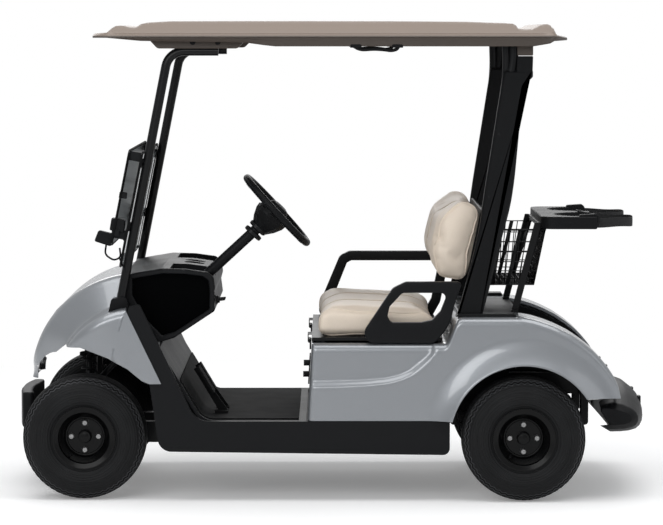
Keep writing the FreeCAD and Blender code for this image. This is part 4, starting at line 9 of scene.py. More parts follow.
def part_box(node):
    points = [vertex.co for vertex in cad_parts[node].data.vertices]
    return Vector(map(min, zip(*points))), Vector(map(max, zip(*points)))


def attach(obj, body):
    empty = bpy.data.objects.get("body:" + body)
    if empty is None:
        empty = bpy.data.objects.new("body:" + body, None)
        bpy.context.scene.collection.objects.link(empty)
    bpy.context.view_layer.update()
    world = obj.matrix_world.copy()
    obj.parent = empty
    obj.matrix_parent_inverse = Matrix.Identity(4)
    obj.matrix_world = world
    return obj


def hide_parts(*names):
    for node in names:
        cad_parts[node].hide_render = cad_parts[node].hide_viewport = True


bl_info = {
    "name": "Golf cart dressing",
    "version": (1, 0, 0),
    "blender": (4, 5, 0),
    "location": "View3D > Sidebar > Cart",
    "description": "Dresses a two-seat golf cart with materials, tyres, cushions and small parts",
    "category": "Object",
}

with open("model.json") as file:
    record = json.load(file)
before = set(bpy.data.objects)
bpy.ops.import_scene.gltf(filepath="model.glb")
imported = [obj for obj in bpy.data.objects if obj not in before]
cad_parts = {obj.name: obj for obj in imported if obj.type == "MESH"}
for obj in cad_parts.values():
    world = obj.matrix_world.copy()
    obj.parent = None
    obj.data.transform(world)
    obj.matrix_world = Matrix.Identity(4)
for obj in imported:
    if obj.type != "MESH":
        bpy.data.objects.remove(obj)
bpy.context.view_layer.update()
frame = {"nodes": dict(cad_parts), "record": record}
NODES = frame["nodes"]


# Sizes and colours that a user would change


class CartPaint(bpy.types.PropertyGroup):
    """Colours of the cart."""

    body: bpy.props.FloatVectorProperty(
        name="Body", description="Metallic paint of the body panels",
        subtype="COLOR", size=3, default=(0.262, 0.276, 0.294),
    )
    roof: bpy.props.FloatVectorProperty(
        name="Roof", description="Moulded roof", subtype="COLOR", size=3, default=(0.205, 0.160, 0.130)
    )
    cushion: bpy.props.FloatVectorProperty(
        name="Cushions", description="Vinyl of the seat and the backrest",
        subtype="COLOR", size=3, default=(0.85, 0.735, 0.61),
    )
    trim: bpy.props.FloatVectorProperty(
        name="Trim", description="Black moulded plastic",
        subtype="COLOR", size=3, default=(0.0055, 0.0058, 0.0064),
    )
    rubber: bpy.props.FloatVectorProperty(
        name="Rubber", description="Tyres and mats",
        subtype="COLOR", size=3, default=(0.0110, 0.0113, 0.0120),
    )
    nuts: bpy.props.FloatVectorProperty(
        name="Nuts", description="Zinc of the wheel nuts",
        subtype="COLOR", size=3, default=(0.34, 0.34, 0.34),
    )


class CartStage(bpy.types.PropertyGroup):
    """Camera and lights."""

    distance: bpy.props.FloatProperty(
        name="Distance", description="Camera to the cart's middle plane",
        default=12.2, min=2.0, unit="LENGTH",
    )
    eye: bpy.props.FloatProperty(
        name="Eye height", description="Camera over the ground", default=1.732, min=0.0, unit="LENGTH"
    )
    tilt: bpy.props.FloatProperty(
        name="Tilt", description="Camera below the horizon", default=math.radians(4.128), subtype="ANGLE"
    )
    lens: bpy.props.FloatProperty(
        name="Lens", description="Focal length in millimetres on a 36 mm sensor", default=171.15, min=20.0
    )
    light: bpy.props.FloatProperty(
        name="Light", description="Strength of the studio lights", default=1.0, min=0.0
    )


class CartTyres(bpy.types.PropertyGroup):
    """Tyres and wheel nuts."""

    pitches: bpy.props.IntProperty(
        name="Pitches", description="Teeth of the shoulder groove round a tyre", default=56, min=12, max=120
    )
    groove: bpy.props.FloatProperty(
        name="Groove", description="Depth of the tread grooves",
        default=0.0055, min=0.0, max=0.01, unit="LENGTH",
    )
    rings: bpy.props.FloatProperty(
        name="Rings", description="Height of the rings on the sidewall",
        default=0.0012, min=0.0, max=0.005, unit="LENGTH",
    )


class CartCushions(bpy.types.PropertyGroup):
    """Seat and backrest."""

    voxel: bpy.props.FloatProperty(
        name="Voxel", description="Mesh size of the simulated cover",
        default=0.0115, min=0.004, max=0.03, unit="LENGTH",
    )
    swell: bpy.props.FloatProperty(
        name="Swell", description="How far a cover may stand out from its pad",
        default=0.022, min=0.0, max=0.03, unit="LENGTH",
    )
    seam: bpy.props.FloatProperty(
        name="Seam", description="Radius of the piping at the seams",
        default=0.0035, min=0.001, max=0.008, unit="LENGTH",
    )


class CartTrim(bpy.types.PropertyGroup):
    """Small parts."""

    wire: bpy.props.FloatProperty(
        name="Wire", description="Diameter of the basket's wires",
        default=0.0042, min=0.002, max=0.01, unit="LENGTH",
    )
    bolt: bpy.props.FloatProperty(
        name="Bolt", description="Radius of the trim bolts",
        default=0.0075, min=0.003, max=0.015, unit="LENGTH",
    )


# Materials


class Graph:
    """A material's nodes, added and linked in short calls."""

    def __init__(self, name):
        self.material = bpy.data.materials.new(name)
        self.material.use_nodes = True
        self.tree = self.material.node_tree
        self.shader = self.tree.nodes["Principled BSDF"]
        self.place = self.tree.nodes.new("ShaderNodeTexCoord").outputs["Object"]

    def node(self, kind, **sockets):
        """A node with some sockets set, by name or as i and a number."""
        made = self.tree.nodes.new("ShaderNode" + kind)
        for name, value in sockets.items():
            numbered = name[0] == "i" and name[1:].isdigit()
            self.put(made.inputs[int(name[1:]) if numbered else name.replace("_", " ")], value)
        return made

    def put(self, socket, value):
        """Links a socket to another, or sets its number or colour."""
        if isinstance(value, bpy.types.NodeSocket):
            self.tree.links.new(value, socket)
        else:
            socket.default_value = value

    def set(self, **sockets):
        """Sets the shader's own sockets."""
        for name, value in sockets.items():
            self.put(self.shader.inputs[name.replace("_", " ")], value)

    def noise(self, scale, detail=2.0, stretch=None):
        """Noise in the object's own space, from 0 to 1."""
        where = self.place
        if stretch:
            where = self.node("Mapping", Vector=self.place, Scale=stretch).outputs["Vector"]
        return self.node("TexNoise", Vector=where, Scale=scale, Detail=detail).outputs["Fac"]

    def math(self, operation, *values):
        """The result of one operation on numbers or sockets."""
        made = self.tree.nodes.new("ShaderNodeMath")
        made.operation = operation
        for socket, value in zip(made.inputs, values):
            self.put(socket, value)
        return made.outputs[0]

    def ramp(self, value, low, high, start=0.0, end=1.0):
        """Maps a value between two others."""
        ends = {"From_Min": start, "From_Max": end, "To_Min": low, "To_Max": high}
        return self.node("MapRange", Value=value, **ends).outputs["Result"]

    def blend(self, share, first, second):
        """A mix of two colours."""
        made = self.tree.nodes.new("ShaderNodeMix")
        made.data_type = "RGBA"
        for number, value in ((0, share), (6, first), (7, second)):
            self.put(made.inputs[number], value)
        return made.outputs[2]

    def tints(self, share, colour, first, second):
        """A mix of two shades of a colour."""
        return self.blend(share, shade(colour, first), shade(colour, second))

    def bump(self, height, strength, distance, after=None):
        """Bump from a height, in metres."""
        made = self.node("Bump", Height=height, Strength=strength, Distance=distance)
        if after is not None:
            self.put(made.inputs["Normal"], after)
        return made.outputs["Normal"]

    def glow(self, strength):
        """White light of a given strength."""
        return self.node("Emission", Color=(1.0, 1.0, 1.0, 1.0), Strength=strength).outputs[0]


MIRRORED_SHARE = 0.35


def seen_or_mirrored(tree):
    """1 where the camera looks straight at something or through glass, and a share of that in a mirror."""
    path = tree.nodes.new("ShaderNodeLightPath")
    mirrored = tree.nodes.new("ShaderNodeMath")
    mirrored.operation = "MULTIPLY"
    mirrored.inputs[1].default_value = MIRRORED_SHARE
    tree.links.new(path.outputs["Is Glossy Ray"], mirrored.inputs[0])
    last = path.outputs["Is Camera Ray"]
    for ray in (mirrored.outputs[0], path.outputs["Is Transmission Ray"]):
        either = tree.nodes.new("ShaderNodeMath")
        either.operation = "MAXIMUM"
        tree.links.new(last, either.inputs[0])
        tree.links.new(ray, either.inputs[1])
        last = either.outputs[0]
    return last


def shade(colour, factor):
    """A colour made lighter or darker, with its alpha."""
    return tuple(min(1.0, c * factor) for c in colour[:3]) + (1.0,)


def body_paint(name, colour):
    """Metallic paint under clear coat, with flakes and a little haze."""
    g = Graph(name)
    flakes = g.noise(2600.0, 1.0)
    haze = g.noise(2.2, 3.0)
    peel = g.noise(140.0, 2.0)
    base = g.tints(g.ramp(flakes, 0.0, 1.0, 0.35, 0.65), colour, 0.86, 1.16)
    g.set(Base_Color=g.blend(g.ramp(haze, 0.0, 0.35), base, shade(colour, 0.97)), Metallic=0.55)
    g.set(Roughness=g.ramp(flakes, 0.30, 0.42), Coat_Weight=0.9, Coat_Roughness=0.045, Coat_IOR=1.5)
    g.set(Normal=g.bump(flakes, 0.05, 0.0002), Coat_Normal=g.bump(peel, 0.02, 0.0006))
    return g.material


def moulded(name, colour, rough=0.5, grain=620.0, depth=0.25, haze=0.12, gloss=0.11):
    """Grained moulded plastic, paler where it is rubbed."""
    g = Graph(name)
    fine = g.noise(grain, 3.0)
    broad = g.noise(7.0, 4.0)
    wear_and_painted_highlight = g.ramp(g.node("NewGeometry").outputs["Pointiness"], 0.0, 1.0, 0.52, 0.62)
    base = g.tints(g.ramp(broad, 0.0, haze * 2), colour, 1.0, 1.35)
    g.set(Base_Color=g.blend(wear_and_painted_highlight, base, shade(colour, 1.7)), Specular_IOR_Level=gloss)
    g.set(Roughness=g.ramp(broad, rough - 0.06, rough + 0.06), Normal=g.bump(fine, depth, 0.0006))
    return g.material


def enamel(name, colour, rough, metallic, coat):
    """Smooth painted steel."""
    g = Graph(name)
    peel = g.noise(260.0, 2.0)
    broad = g.noise(5.0, 4.0)
    g.set(Base_Color=g.tints(g.ramp(broad, 0.0, 0.4), colour, 1.0, 1.3), Metallic=metallic)
    g.set(Roughness=g.ramp(broad, rough - 0.05, rough + 0.07), Coat_Weight=coat, Coat_Roughness=0.12)
    g.set(Normal=g.bump(peel, 0.06, 0.0005), Specular_IOR_Level=0.14)
    return g.material


def vinyl(name, colour):
    """Grained seat vinyl with soft mottling."""
    g = Graph(name)
    grain = g.node("TexVoronoi", Vector=g.place, Scale=420.0).outputs["Distance"]
    pores = g.noise(900.0, 2.0)
    broad = g.noise(6.0, 4.0)
    mottle = g.noise(38.0, 3.0)
    base = g.tints(g.ramp(broad, 0.0, 1.0, 0.3, 0.7), colour, 0.95, 1.05)
    base = g.blend(g.ramp(mottle, 0.0, 0.3), base, shade(colour, 0.9))
    g.set(Base_Color=g.blend(g.ramp(grain, 0.5, 0.0, 0.0, 0.35), base, shade(colour, 0.78)))
    g.set(Roughness=g.ramp(pores, 0.42, 0.56), Sheen_Weight=0.08, Sheen_Roughness=0.5)
    g.set(Normal=g.bump(pores, 0.15, 0.0004, g.bump(grain, 0.35, 0.0006)))
    return g.material


def rubber(name, colour):
    """Dull rubber of mats and edges, a little dusty."""
    g = Graph(name)
    fine = g.noise(700.0, 3.0)
    dust = g.noise(11.0, 5.0)
    g.set(Base_Color=g.tints(g.ramp(dust, 0.0, 0.55, 0.35, 0.8), colour, 1.0, 1.9))
    g.set(Roughness=g.ramp(dust, 0.67, 0.85), Normal=g.bump(fine, 0.2, 0.0004), Specular_IOR_Level=0.05)
    return g.material


def tyre_rubber(name, colour, radius, sizes):
    """Tyre rubber with fine sidewall rings and a thin zigzag line cut round the shoulder, with painted shade
    in the cut and a painted highlight in a pale band beside it.
    """
    g = Graph(name)
    axes = g.node("SeparateXYZ", Vector=g.place).outputs
    reach = g.math("SQRT", g.math("ADD", g.math("POWER", axes["X"], 2.0), g.math("POWER", axes["Z"], 2.0)))
    teeth = g.math("MULTIPLY", g.math("ARCTAN2", axes["Z"], axes["X"]), sizes.pitches / (2 * math.pi))
    line = g.math("MULTIPLY_ADD", g.math("PINGPONG", teeth, 0.5), 0.0110, radius * 0.915)
    off = g.math("ABSOLUTE", g.math("SUBTRACT", reach, line))
    wear_and_painted_highlight = g.ramp(g.math("ABSOLUTE", g.math("SUBTRACT", off, 0.0045)), 1.0, 0.0, 0.0008, 0.0022)
    side = g.ramp(g.math("ABSOLUTE", axes["Y"]), 0.0, 1.0, 0.060, 0.068)
    cut = g.math("MULTIPLY", g.ramp(off, 1.0, 0.0, 0.0018, 0.0028), side)
    rings = g.math("MULTIPLY", g.math("SINE", g.math("MULTIPLY", reach, 700.0)), side)
    fine = g.noise(700.0, 3.0)
    dust = g.noise(11.0, 5.0)
    base = g.tints(g.ramp(dust, 0.0, 0.55, 0.35, 0.8), colour, 0.8, 1.7)
    # Painted highlight: a pale band on the sidewall just beside the cut.
    base = g.blend(g.math("MULTIPLY", wear_and_painted_highlight, g.math("MULTIPLY", side, 0.8)), base, shade(colour, 6.0))
    # Painted shade: the cut's line is darkened almost to black, as shade in the groove; the same line also
    # drives the bump.
    g.set(Base_Color=g.blend(cut, base, shade(colour, 0.05)), Roughness=g.ramp(dust, 0.46, 0.62))
    normal = g.bump(rings, 0.5, sizes.rings, g.bump(fine, 0.2, 0.0004))
    g.set(Normal=g.bump(g.math("SUBTRACT", 1.0, cut), 0.8, 0.002, normal), Specular_IOR_Level=0.14)
    return g.material


# Height of the roof's rim over its lower edge
ROOF_RIM = 0.046


def roof_plastic(name, colour):
    """Moulded roof plastic, with painted shade below the rim, on the lip that faces down and on the brackets
    under it.
    """
    g = Graph(name)
    fine = g.noise(520.0, 3.0)
    broad = g.noise(5.0, 4.0)
    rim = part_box("roof")[0].z + ROOF_RIM
    height = g.node("SeparateXYZ", Vector=g.place).outputs["Z"]
    above = g.ramp(height, 0.0, 1.0, rim - 0.009, rim - 0.004)
    base = g.tints(g.ramp(broad, 0.0, 0.3), colour, 1.0, 1.15)
    # Painted shade: below the rim the colour falls to about a third of itself, on the downward-facing lip and
    # on the brackets under it.
    painted_lip_shade = g.tints(g.ramp(broad, 0.0, 0.4), colour, 0.30, 0.42)
    g.set(Base_Color=g.blend(above, painted_lip_shade, base), Roughness=g.ramp(broad, 0.34, 0.46))
    g.set(Normal=g.bump(fine, 0.12, 0.0006), Specular_IOR_Level=0.4)
    return g.material


# Scratches of the clear and the tinted sheet: scale, detail and stretch
SCRATCHES = (90.0, 6.0, (1.0, 6.0, 1.0))


def glazing(name, colour):
    """Clear sheet with faint scratches."""
    g = Graph(name)
    g.set(Base_Color=shade(colour, 1.0), Transmission_Weight=1.0, IOR=1.49)
    g.set(Roughness=g.ramp(g.noise(*SCRATCHES), 0.01, 0.06, 0.45, 0.75))
    return g.material


def smoked(name, colour):
    """Dark tinted sheet that lets a little light through."""
    g = Graph(name)
    scratch = g.noise(*SCRATCHES)
    g.set(Base_Color=g.tints(g.ramp(scratch, 0.0, 0.4), colour, 0.9, 1.4))
    g.set(Transmission_Weight=0.3, Roughness=g.ramp(scratch, 0.25, 0.4), Specular_IOR_Level=0.12)
    return g.material


def woven(name, colour):
    """Webbing: warp and weft as two sets of bands."""
    g = Graph(name)
    bands = []
    for direction in ("Z", "DIAGONAL"):
        wave = g.node("TexWave", Vector=g.place, Scale=900.0 / 6.28)
        wave.bands_direction = direction
        bands.append(wave.outputs["Color"])
    weave = g.blend(0.5, *bands)
    g.set(Base_Color=g.tints(weave, colour, 0.7, 1.6), Roughness=0.8, Normal=g.bump(weave, 0.5, 0.0008))
    return g.material


def zinc(name, colour):
    """Plated steel."""
    g = Graph(name)
    stain = g.noise(60.0, 4.0)
    g.set(Base_Color=g.tints(stain, colour, 0.75, 1.2), Metallic=0.9, Roughness=g.ramp(stain, 0.27, 0.47))
    return g.material


MATERIALS = {}


def slot_materials():
    """Makes one material for each of the record's slots, and those of the dash's plate of painted shade and
    the upper sheet.
    """
    scene = bpy.context.scene
    p = scene.cart_paint
    black = tuple(p.trim)
    low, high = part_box("tyre_front_left")
    tyre_radius = (high.z - low.z) / 2
    made = {
        "body_silver": body_paint("body_silver", p.body),
        "roof_beige": roof_plastic("roof_beige", p.roof),
        "cushion": vinyl("cushion", p.cushion),
        "black_plastic": moulded("black_plastic", black, 0.46, 620.0, 0.3),
        "dash_plastic": moulded("dash_plastic", shade(black, 1.2), 0.42, 480.0, 0.3),
        "rubber": rubber("rubber", shade(p.rubber, 0.6)),
        "armrest_plastic": moulded("armrest_plastic", shade(black, 1.5), 0.36, 380.0, 0.2),
        "black_paint": enamel("black_paint", shade(black, 0.9), 0.36, 0.0, 0.15),
        "steel_dark": enamel("steel_dark", shade(black, 1.3), 0.45, 0.2, 0.1),
        "battery_case": moulded("battery_case", shade(black, 1.6), 0.4),
        "glass": glazing("glass", (0.62, 0.66, 0.68)),
        "glass_smoked": smoked("glass_smoked", (0.045, 0.047, 0.05)),
        # Painted shade: near black with no gloss, for the plate across the dash's opening.
        "painted_shade_plate": moulded("painted_shade_plate", shade(black, 0.3), 0.8, 300.0, 0.1, 0.05, 0.0),
        "webbing": woven("webbing", black),
        "tyre": tyre_rubber("tyre", p.rubber, tyre_radius, scene.cart_tyres),
        "rim_black": enamel("rim_black", shade(black, 0.3), 0.3, 0.0, 0.08),
        "bright": zinc("bright", p.nuts),
    }
    MATERIALS.update(made)


# Outlines and meshes


TINY = 1e-6
MERGE = 0.00002
PLANES = {
    "side": lambda a, b, depth: Vector((a, depth, b)),
    "plan": lambda a, b, depth: Vector((a, b, depth)),
}


def add(name, meshes, slot, angle=30.0, body="chassis", pair=False):
    """Makes one piece of several meshes, and of their mirror images where asked, riding on a body."""
    mesh = join_meshes(name, meshes)
    if pair:
        mesh = join_meshes(name, [mesh, mirror_mesh(mesh)])
    made = bpy.data.objects.new(name, mesh)
    bpy.context.scene.collection.objects.link(made)
    shade_round(mesh, angle)
    mesh.materials.append(MATERIALS[slot])
    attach(made, body)
    return made


def shade_round(mesh, angle):
    """Shades a mesh round, apart from edges sharper than an angle."""
    for face in mesh.polygons:
        face.use_smooth = True
    if angle:
        mesh.set_sharp_from_angle(angle=math.radians(angle))


def join_meshes(name, meshes):
    """One mesh of several."""
    joined = bmesh.new()
    for mesh in meshes:
        joined.from_mesh(mesh)
    made = bpy.data.meshes.new(name)
    joined.to_mesh(made)
    joined.free()
    return made


def mirror_mesh(mesh):
    """The same mesh on the other side of the middle plane."""
    other = mesh.copy()
    for vertex in other.vertices:
        vertex.co.y = -vertex.co.y
    other.flip_normals()
    return other


def mesh_of(points, faces):
    """A mesh of points and faces."""
    mesh = bpy.data.meshes.new("part")
    mesh.from_pydata(points, [], faces)
    mesh.validate()
    mesh.update()
    return mesh


def grid(rows, wrap_rows=False, wrap_cols=False):
    """A mesh of quads from rows of points, closed either way where asked."""
    width = len(rows[0])
    faces = []
    for r in range(len(rows) if wrap_rows else len(rows) - 1):
        for c in range(width if wrap_cols else width - 1):
            here, above = r * width, ((r + 1) % len(rows)) * width
            right = (c + 1) % width
            faces.append((here + c, here + right, above + right, above + c))
    return mesh_of([point for row in rows for point in row], faces)


def loft(sections):
    """A closed skin through sections of as many points each, with flat ends."""
    mesh = grid(sections, wrap_cols=True)
    work = bmesh.new()
    work.from_mesh(mesh)
    work.verts.ensure_lookup_table()
    width = len(sections[0])
    work.faces.new([work.verts[n] for n in range(width)][::-1])
    work.faces.new([work.verts[(len(sections) - 1) * width + n] for n in range(width)])
    bmesh.ops.remove_doubles(work, verts=work.verts, dist=MERGE)
    bmesh.ops.recalc_face_normals(work, faces=work.faces)
    work.to_mesh(mesh)
    work.free()
    return mesh


def corner_arc(back, here, ahead, reach, steps):
    """Points of the arc that turns a corner."""
    start = here + (back - here).normalized() * reach
    end = here + (ahead - here).normalized() * reach
    shares = [k / steps for k in range(steps + 1)]
    return [(1 - t) ** 2 * start + 2 * t * (1 - t) * here + t * t * end for t in shares]


def rounded(points, radii, steps=4):
    """A closed outline whose corners are turned by arcs. Radii is one number, or one for each point."""
    points = [Vector(point) for point in points]
    radii = radii if isinstance(radii, list) else [radii] * len(points)
    path = []
    for n, here in enumerate(points):
        back, ahead = points[n - 1], points[(n + 1) % len(points)]
        if radii[n] <= 0:
            path.append(here)
            continue
        reach = min(radii[n], 0.49 * (back - here).length, 0.49 * (ahead - here).length)
        path += corner_arc(back, here, ahead, reach, steps)
    return path


def smooth_path(corners, radius, steps=5):
    """An open path whose corners are turned by arcs."""
    corners = [Vector(corner) for corner in corners]
    path = [corners[0]]
    for back, here, ahead in zip(corners, corners[1:], corners[2:]):
        reach = min(radius, 0.45 * (back - here).length, 0.45 * (ahead - here).length)
        path += corner_arc(back, here, ahead, reach, steps)
    return path + [corners[-1]]


def slab(points, radii, low, high, edge=0.002, plane="side", steps=4):
    """A plate between two depths with chamfered rims. Its outline lies in the side plane or in plan."""
    outline = rounded(points, radii, steps)
    sign = 1.0 if turning(outline) > 0 else -1.0
    inward = []
    for n, here in enumerate(outline):
        ahead = outline[(n + 1) % len(outline)]
        run = (here - outline[n - 1]).normalized() + (ahead - here).normalized()
        across = Vector((-run.y, run.x))
        inward.append(across.normalized() * sign if across.length > TINY else Vector((0.0, 0.0)))
    sections = []
    for depth, inset in ((low, edge), (low + edge, 0.0), (high - edge, 0.0), (high, edge)):
        flat = [here + way * inset for here, way in zip(outline, inward)]
        sections.append([PLANES[plane](p.x, p.y, depth) for p in flat])
    return loft(sections)


def turning(outline):
    """Twice the signed area of an outline."""
    ahead = outline[1:] + outline[:1]
    return sum(a[0] * b[1] - b[0] * a[1] for a, b in zip(outline, ahead))


def wires(paths, radius, sides=8):
    """Round wires along several open paths, as one mesh."""
    points, faces = [], []
    for path in paths:
        path = [Vector(p) for p in path]
        first = len(points)
        normal = None
        for n, here in enumerate(path):
            ahead = (path[min(n + 1, len(path) - 1)] - path[max(n - 1, 0)]).normalized()
            if normal is None:
                up = Vector((0.0, 0.0, 1.0)) if abs(ahead.z) < 0.9 else Vector((1.0, 0.0, 0.0))
                normal = ahead.cross(up).normalized()
            else:
                normal = (normal - ahead * normal.dot(ahead)).normalized()
            side = ahead.cross(normal)
            for turn in turns(sides):
                points.append(here + (normal * math.cos(turn) + side * math.sin(turn)) * radius)
        for n in range(len(path) - 1):
            ring = first + n * sides
            for k in range(sides):
                a, b = ring + k, ring + (k + 1) % sides
                faces.append((a, b, b + sides, a + sides))
        last = first + (len(path) - 1) * sides
        faces.append(tuple(range(first, first + sides))[::-1])
        faces.append(tuple(range(last, last + sides)))
    return mesh_of(points, faces)


def turns(count):
    """Angles round a circle."""
    return [2 * math.pi * k / count for k in range(count)]


def turned(profile, steps, centre, axis):
    """A profile of (radius, along) turned about an axis."""
    axis = Vector(axis).normalized()
    start = Vector((0.0, 0.0, 1.0))
    first = (start - axis * start.dot(axis)).normalized()
    second = axis.cross(first)
    rows = []
    for turn in turns(steps):
        out = first * math.cos(turn) + second * math.sin(turn)
        rows.append([Vector(centre) + out * r + axis * a for r, a in profile])
    return grid(rows, wrap_rows=True)


def bolt(centre, out, radius, height):
    """A bolt head with a washer under it and a rounded top."""
    washer = [(0.0, 0.0), (radius * 1.45, 0.0), (radius * 1.45, height * 0.22), (radius, height * 0.26)]
    top = [(radius, height * 0.85), (radius * 0.82, height), (0.0, height)]
    return turned(washer + top, 12, centre, out)


def between(shares, x_low, x_high, z_low, z_high):
    """Points of an outline given as shares of a field."""
    return [(x_low + a * (x_high - x_low), z_low + b * (z_high - z_low)) for a, b in shares]


def moved(points, x, z):
    """The points of an outline, shifted along the cart and up."""
    return [(x + a, z + b) for a, b in points]


def along(table, place):
    """Value of a table of (place, value) at a place, on straight lines between its rows."""
    for (a, low), (b, high) in zip(table, table[1:]):
        if place <= b:
            return low if place <= a else low + (high - low) * (place - a) / (b - a)
    return table[-1][1]


def smooth_step(t):
    """A share that leaves 0 and reaches 1 level."""
    t = min(1.0, max(0.0, t))
    return t * t * (3 - 2 * t)


# Stage


class CART_OT_stage(bpy.types.Operator):
    """Sets up the camera, the floor and the studio lights."""

    bl_idname = "cart.stage"
    bl_label = "Stage"

    near_floor, far_floor = 1.9, 4.5
    near_glow = 0.22
    soft_colour, soft_strength = (0.95, 0.97, 1.0, 1.0), 0.34
    lamps = (
        ("light_top", (0.0, -0.6, 5.2), (0.0, 0.0, 0.0), (7.0, 4.5), 235.0),
        ("light_side", (-2.4, -6.5, 3.6), (0.0, 0.0, 0.7), (5.0, 2.4), 130.0),
        ("light_rear", (4.6, -3.4, 2.6), (0.8, 0.0, 0.6), (2.0, 3.0), 14.0),
        ("light_back", (0.0, 6.5, 3.2), (0.0, 0.0, 0.7), (6.0, 2.4), 100.0),
    )

    def execute(self, context):
        scene = context.scene
        scene.view_settings.view_transform = "Standard"
        self.camera(scene, scene.cart_stage)
        self.floor(scene)
        self.world(scene)
        for name, place, aim, size, power in self.lamps:
            data = bpy.data.lights.new(name, "AREA")
            data.shape = "RECTANGLE"
            data.size, data.size_y = size
            data.energy = power * scene.cart_stage.light
            lamp = bpy.data.objects.new(name, data)
            scene.collection.objects.link(lamp)
            lamp.location = place
            lamp.rotation_euler = (Vector(aim) - Vector(place)).to_track_quat("-Z", "Y").to_euler()
        return {"FINISHED"}

    def camera(self, scene, stage):
        """The photo's view, from the cart's left."""
        data = bpy.data.cameras.new("camera")
        camera = bpy.data.objects.new("camera", data)
        scene.collection.objects.link(camera)
        camera.location = (0.0, -stage.distance, stage.eye)
        camera.rotation_euler = (math.pi / 2 - stage.tilt, 0.0, 0.0)
        data.sensor_width = 36.0
        data.lens = stage.lens
        data.clip_end = 200.0
        scene.camera = camera

    def floor(self, scene):
        """A wide pale floor that keeps the cart's shadow and turns white away from it."""
        reach = (-60.0, -8.0, 8.0, 60.0)
        floor = bpy.data.objects.new("floor", grid([[Vector((x, y, -0.001)) for y in reach] for x in reach]))
        scene.collection.objects.link(floor)
        g = Graph("floor")
        cloud = g.noise(0.6, 2.0)
        g.set(Base_Color=g.blend(cloud, (0.90, 0.90, 0.90, 1.0), (0.93, 0.93, 0.93, 1.0)), Roughness=0.9)
        g.set(Specular_IOR_Level=0.1)
        away = g.node("VectorMath", i0=g.place)
        away.operation = "LENGTH"
        far = g.ramp(away.outputs["Value"], 0.0, 1.0, self.near_floor, self.far_floor)
        lift = g.node("AddShader", i0=g.shader.outputs[0], i1=g.glow(self.near_glow))
        faded = g.node("MixShader", i0=far, i1=lift.outputs[0], i2=g.glow(1.0))
        seen = seen_or_mirrored(g.tree)
        shown = g.node("MixShader", i0=seen, i1=g.shader.outputs[0], i2=faded.outputs[0])
        g.put(g.tree.nodes["Material Output"].inputs["Surface"], shown.outputs[0])
        floor.data.materials.append(g.material)

    def world(self, scene):
        """White behind the cart, softer light on it."""
        scene.world = bpy.data.worlds.new("studio")
        scene.world.use_nodes = True
        tree = scene.world.node_tree
        tree.nodes.clear()
        out = tree.nodes.new("ShaderNodeOutputWorld")
        seen = seen_or_mirrored(tree)
        mix = tree.nodes.new("ShaderNodeMixShader")
        tree.links.new(seen, mix.inputs[0])
        soft, white = (self.soft_colour, self.soft_strength), ((1.0, 1.0, 1.0, 1.0), 1.0)
        for n, (colour, strength) in enumerate((soft, white), 1):
            back = tree.nodes.new("ShaderNodeBackground")
            back.inputs["Color"].default_value = colour
            back.inputs["Strength"].default_value = strength
            tree.links.new(back.outputs[0], mix.inputs[n])
        tree.links.new(mix.outputs[0], out.inputs["Surface"])


# Finish of the CAD nodes


class CART_OT_finish(bpy.types.Operator):
    """Gives every CAD node its slot's material and softened edges."""

    bl_idname = "cart.finish"
    bl_label = "Materials"

    def execute(self, context):
        slot_materials()
        slots = {part["node"]: part["material_slot"] for part in frame["record"]["subparts"]}
        for name, node in NODES.items():
            node.data.materials.clear()
            node.data.materials.append(MATERIALS[slots[name]])
            shade_round(node.data, 28.0)
        NODES["seat_hinges"].data.materials[0] = MATERIALS["steel_dark"]
        NODES["windscreen_upper"].data.materials[0] = MATERIALS["glass_smoked"]
        return {"FINISHED"}


# Wheels


def wheel_frames():
    """Each wheel's name, centre and outboard direction."""
    for axle in ("front", "rear"):
        for side, out in (("left", -1.0), ("right", 1.0)):
            low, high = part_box(f"tyre_{axle}_{side}")
            yield f"{axle}_{side}", (low + high) / 2, out


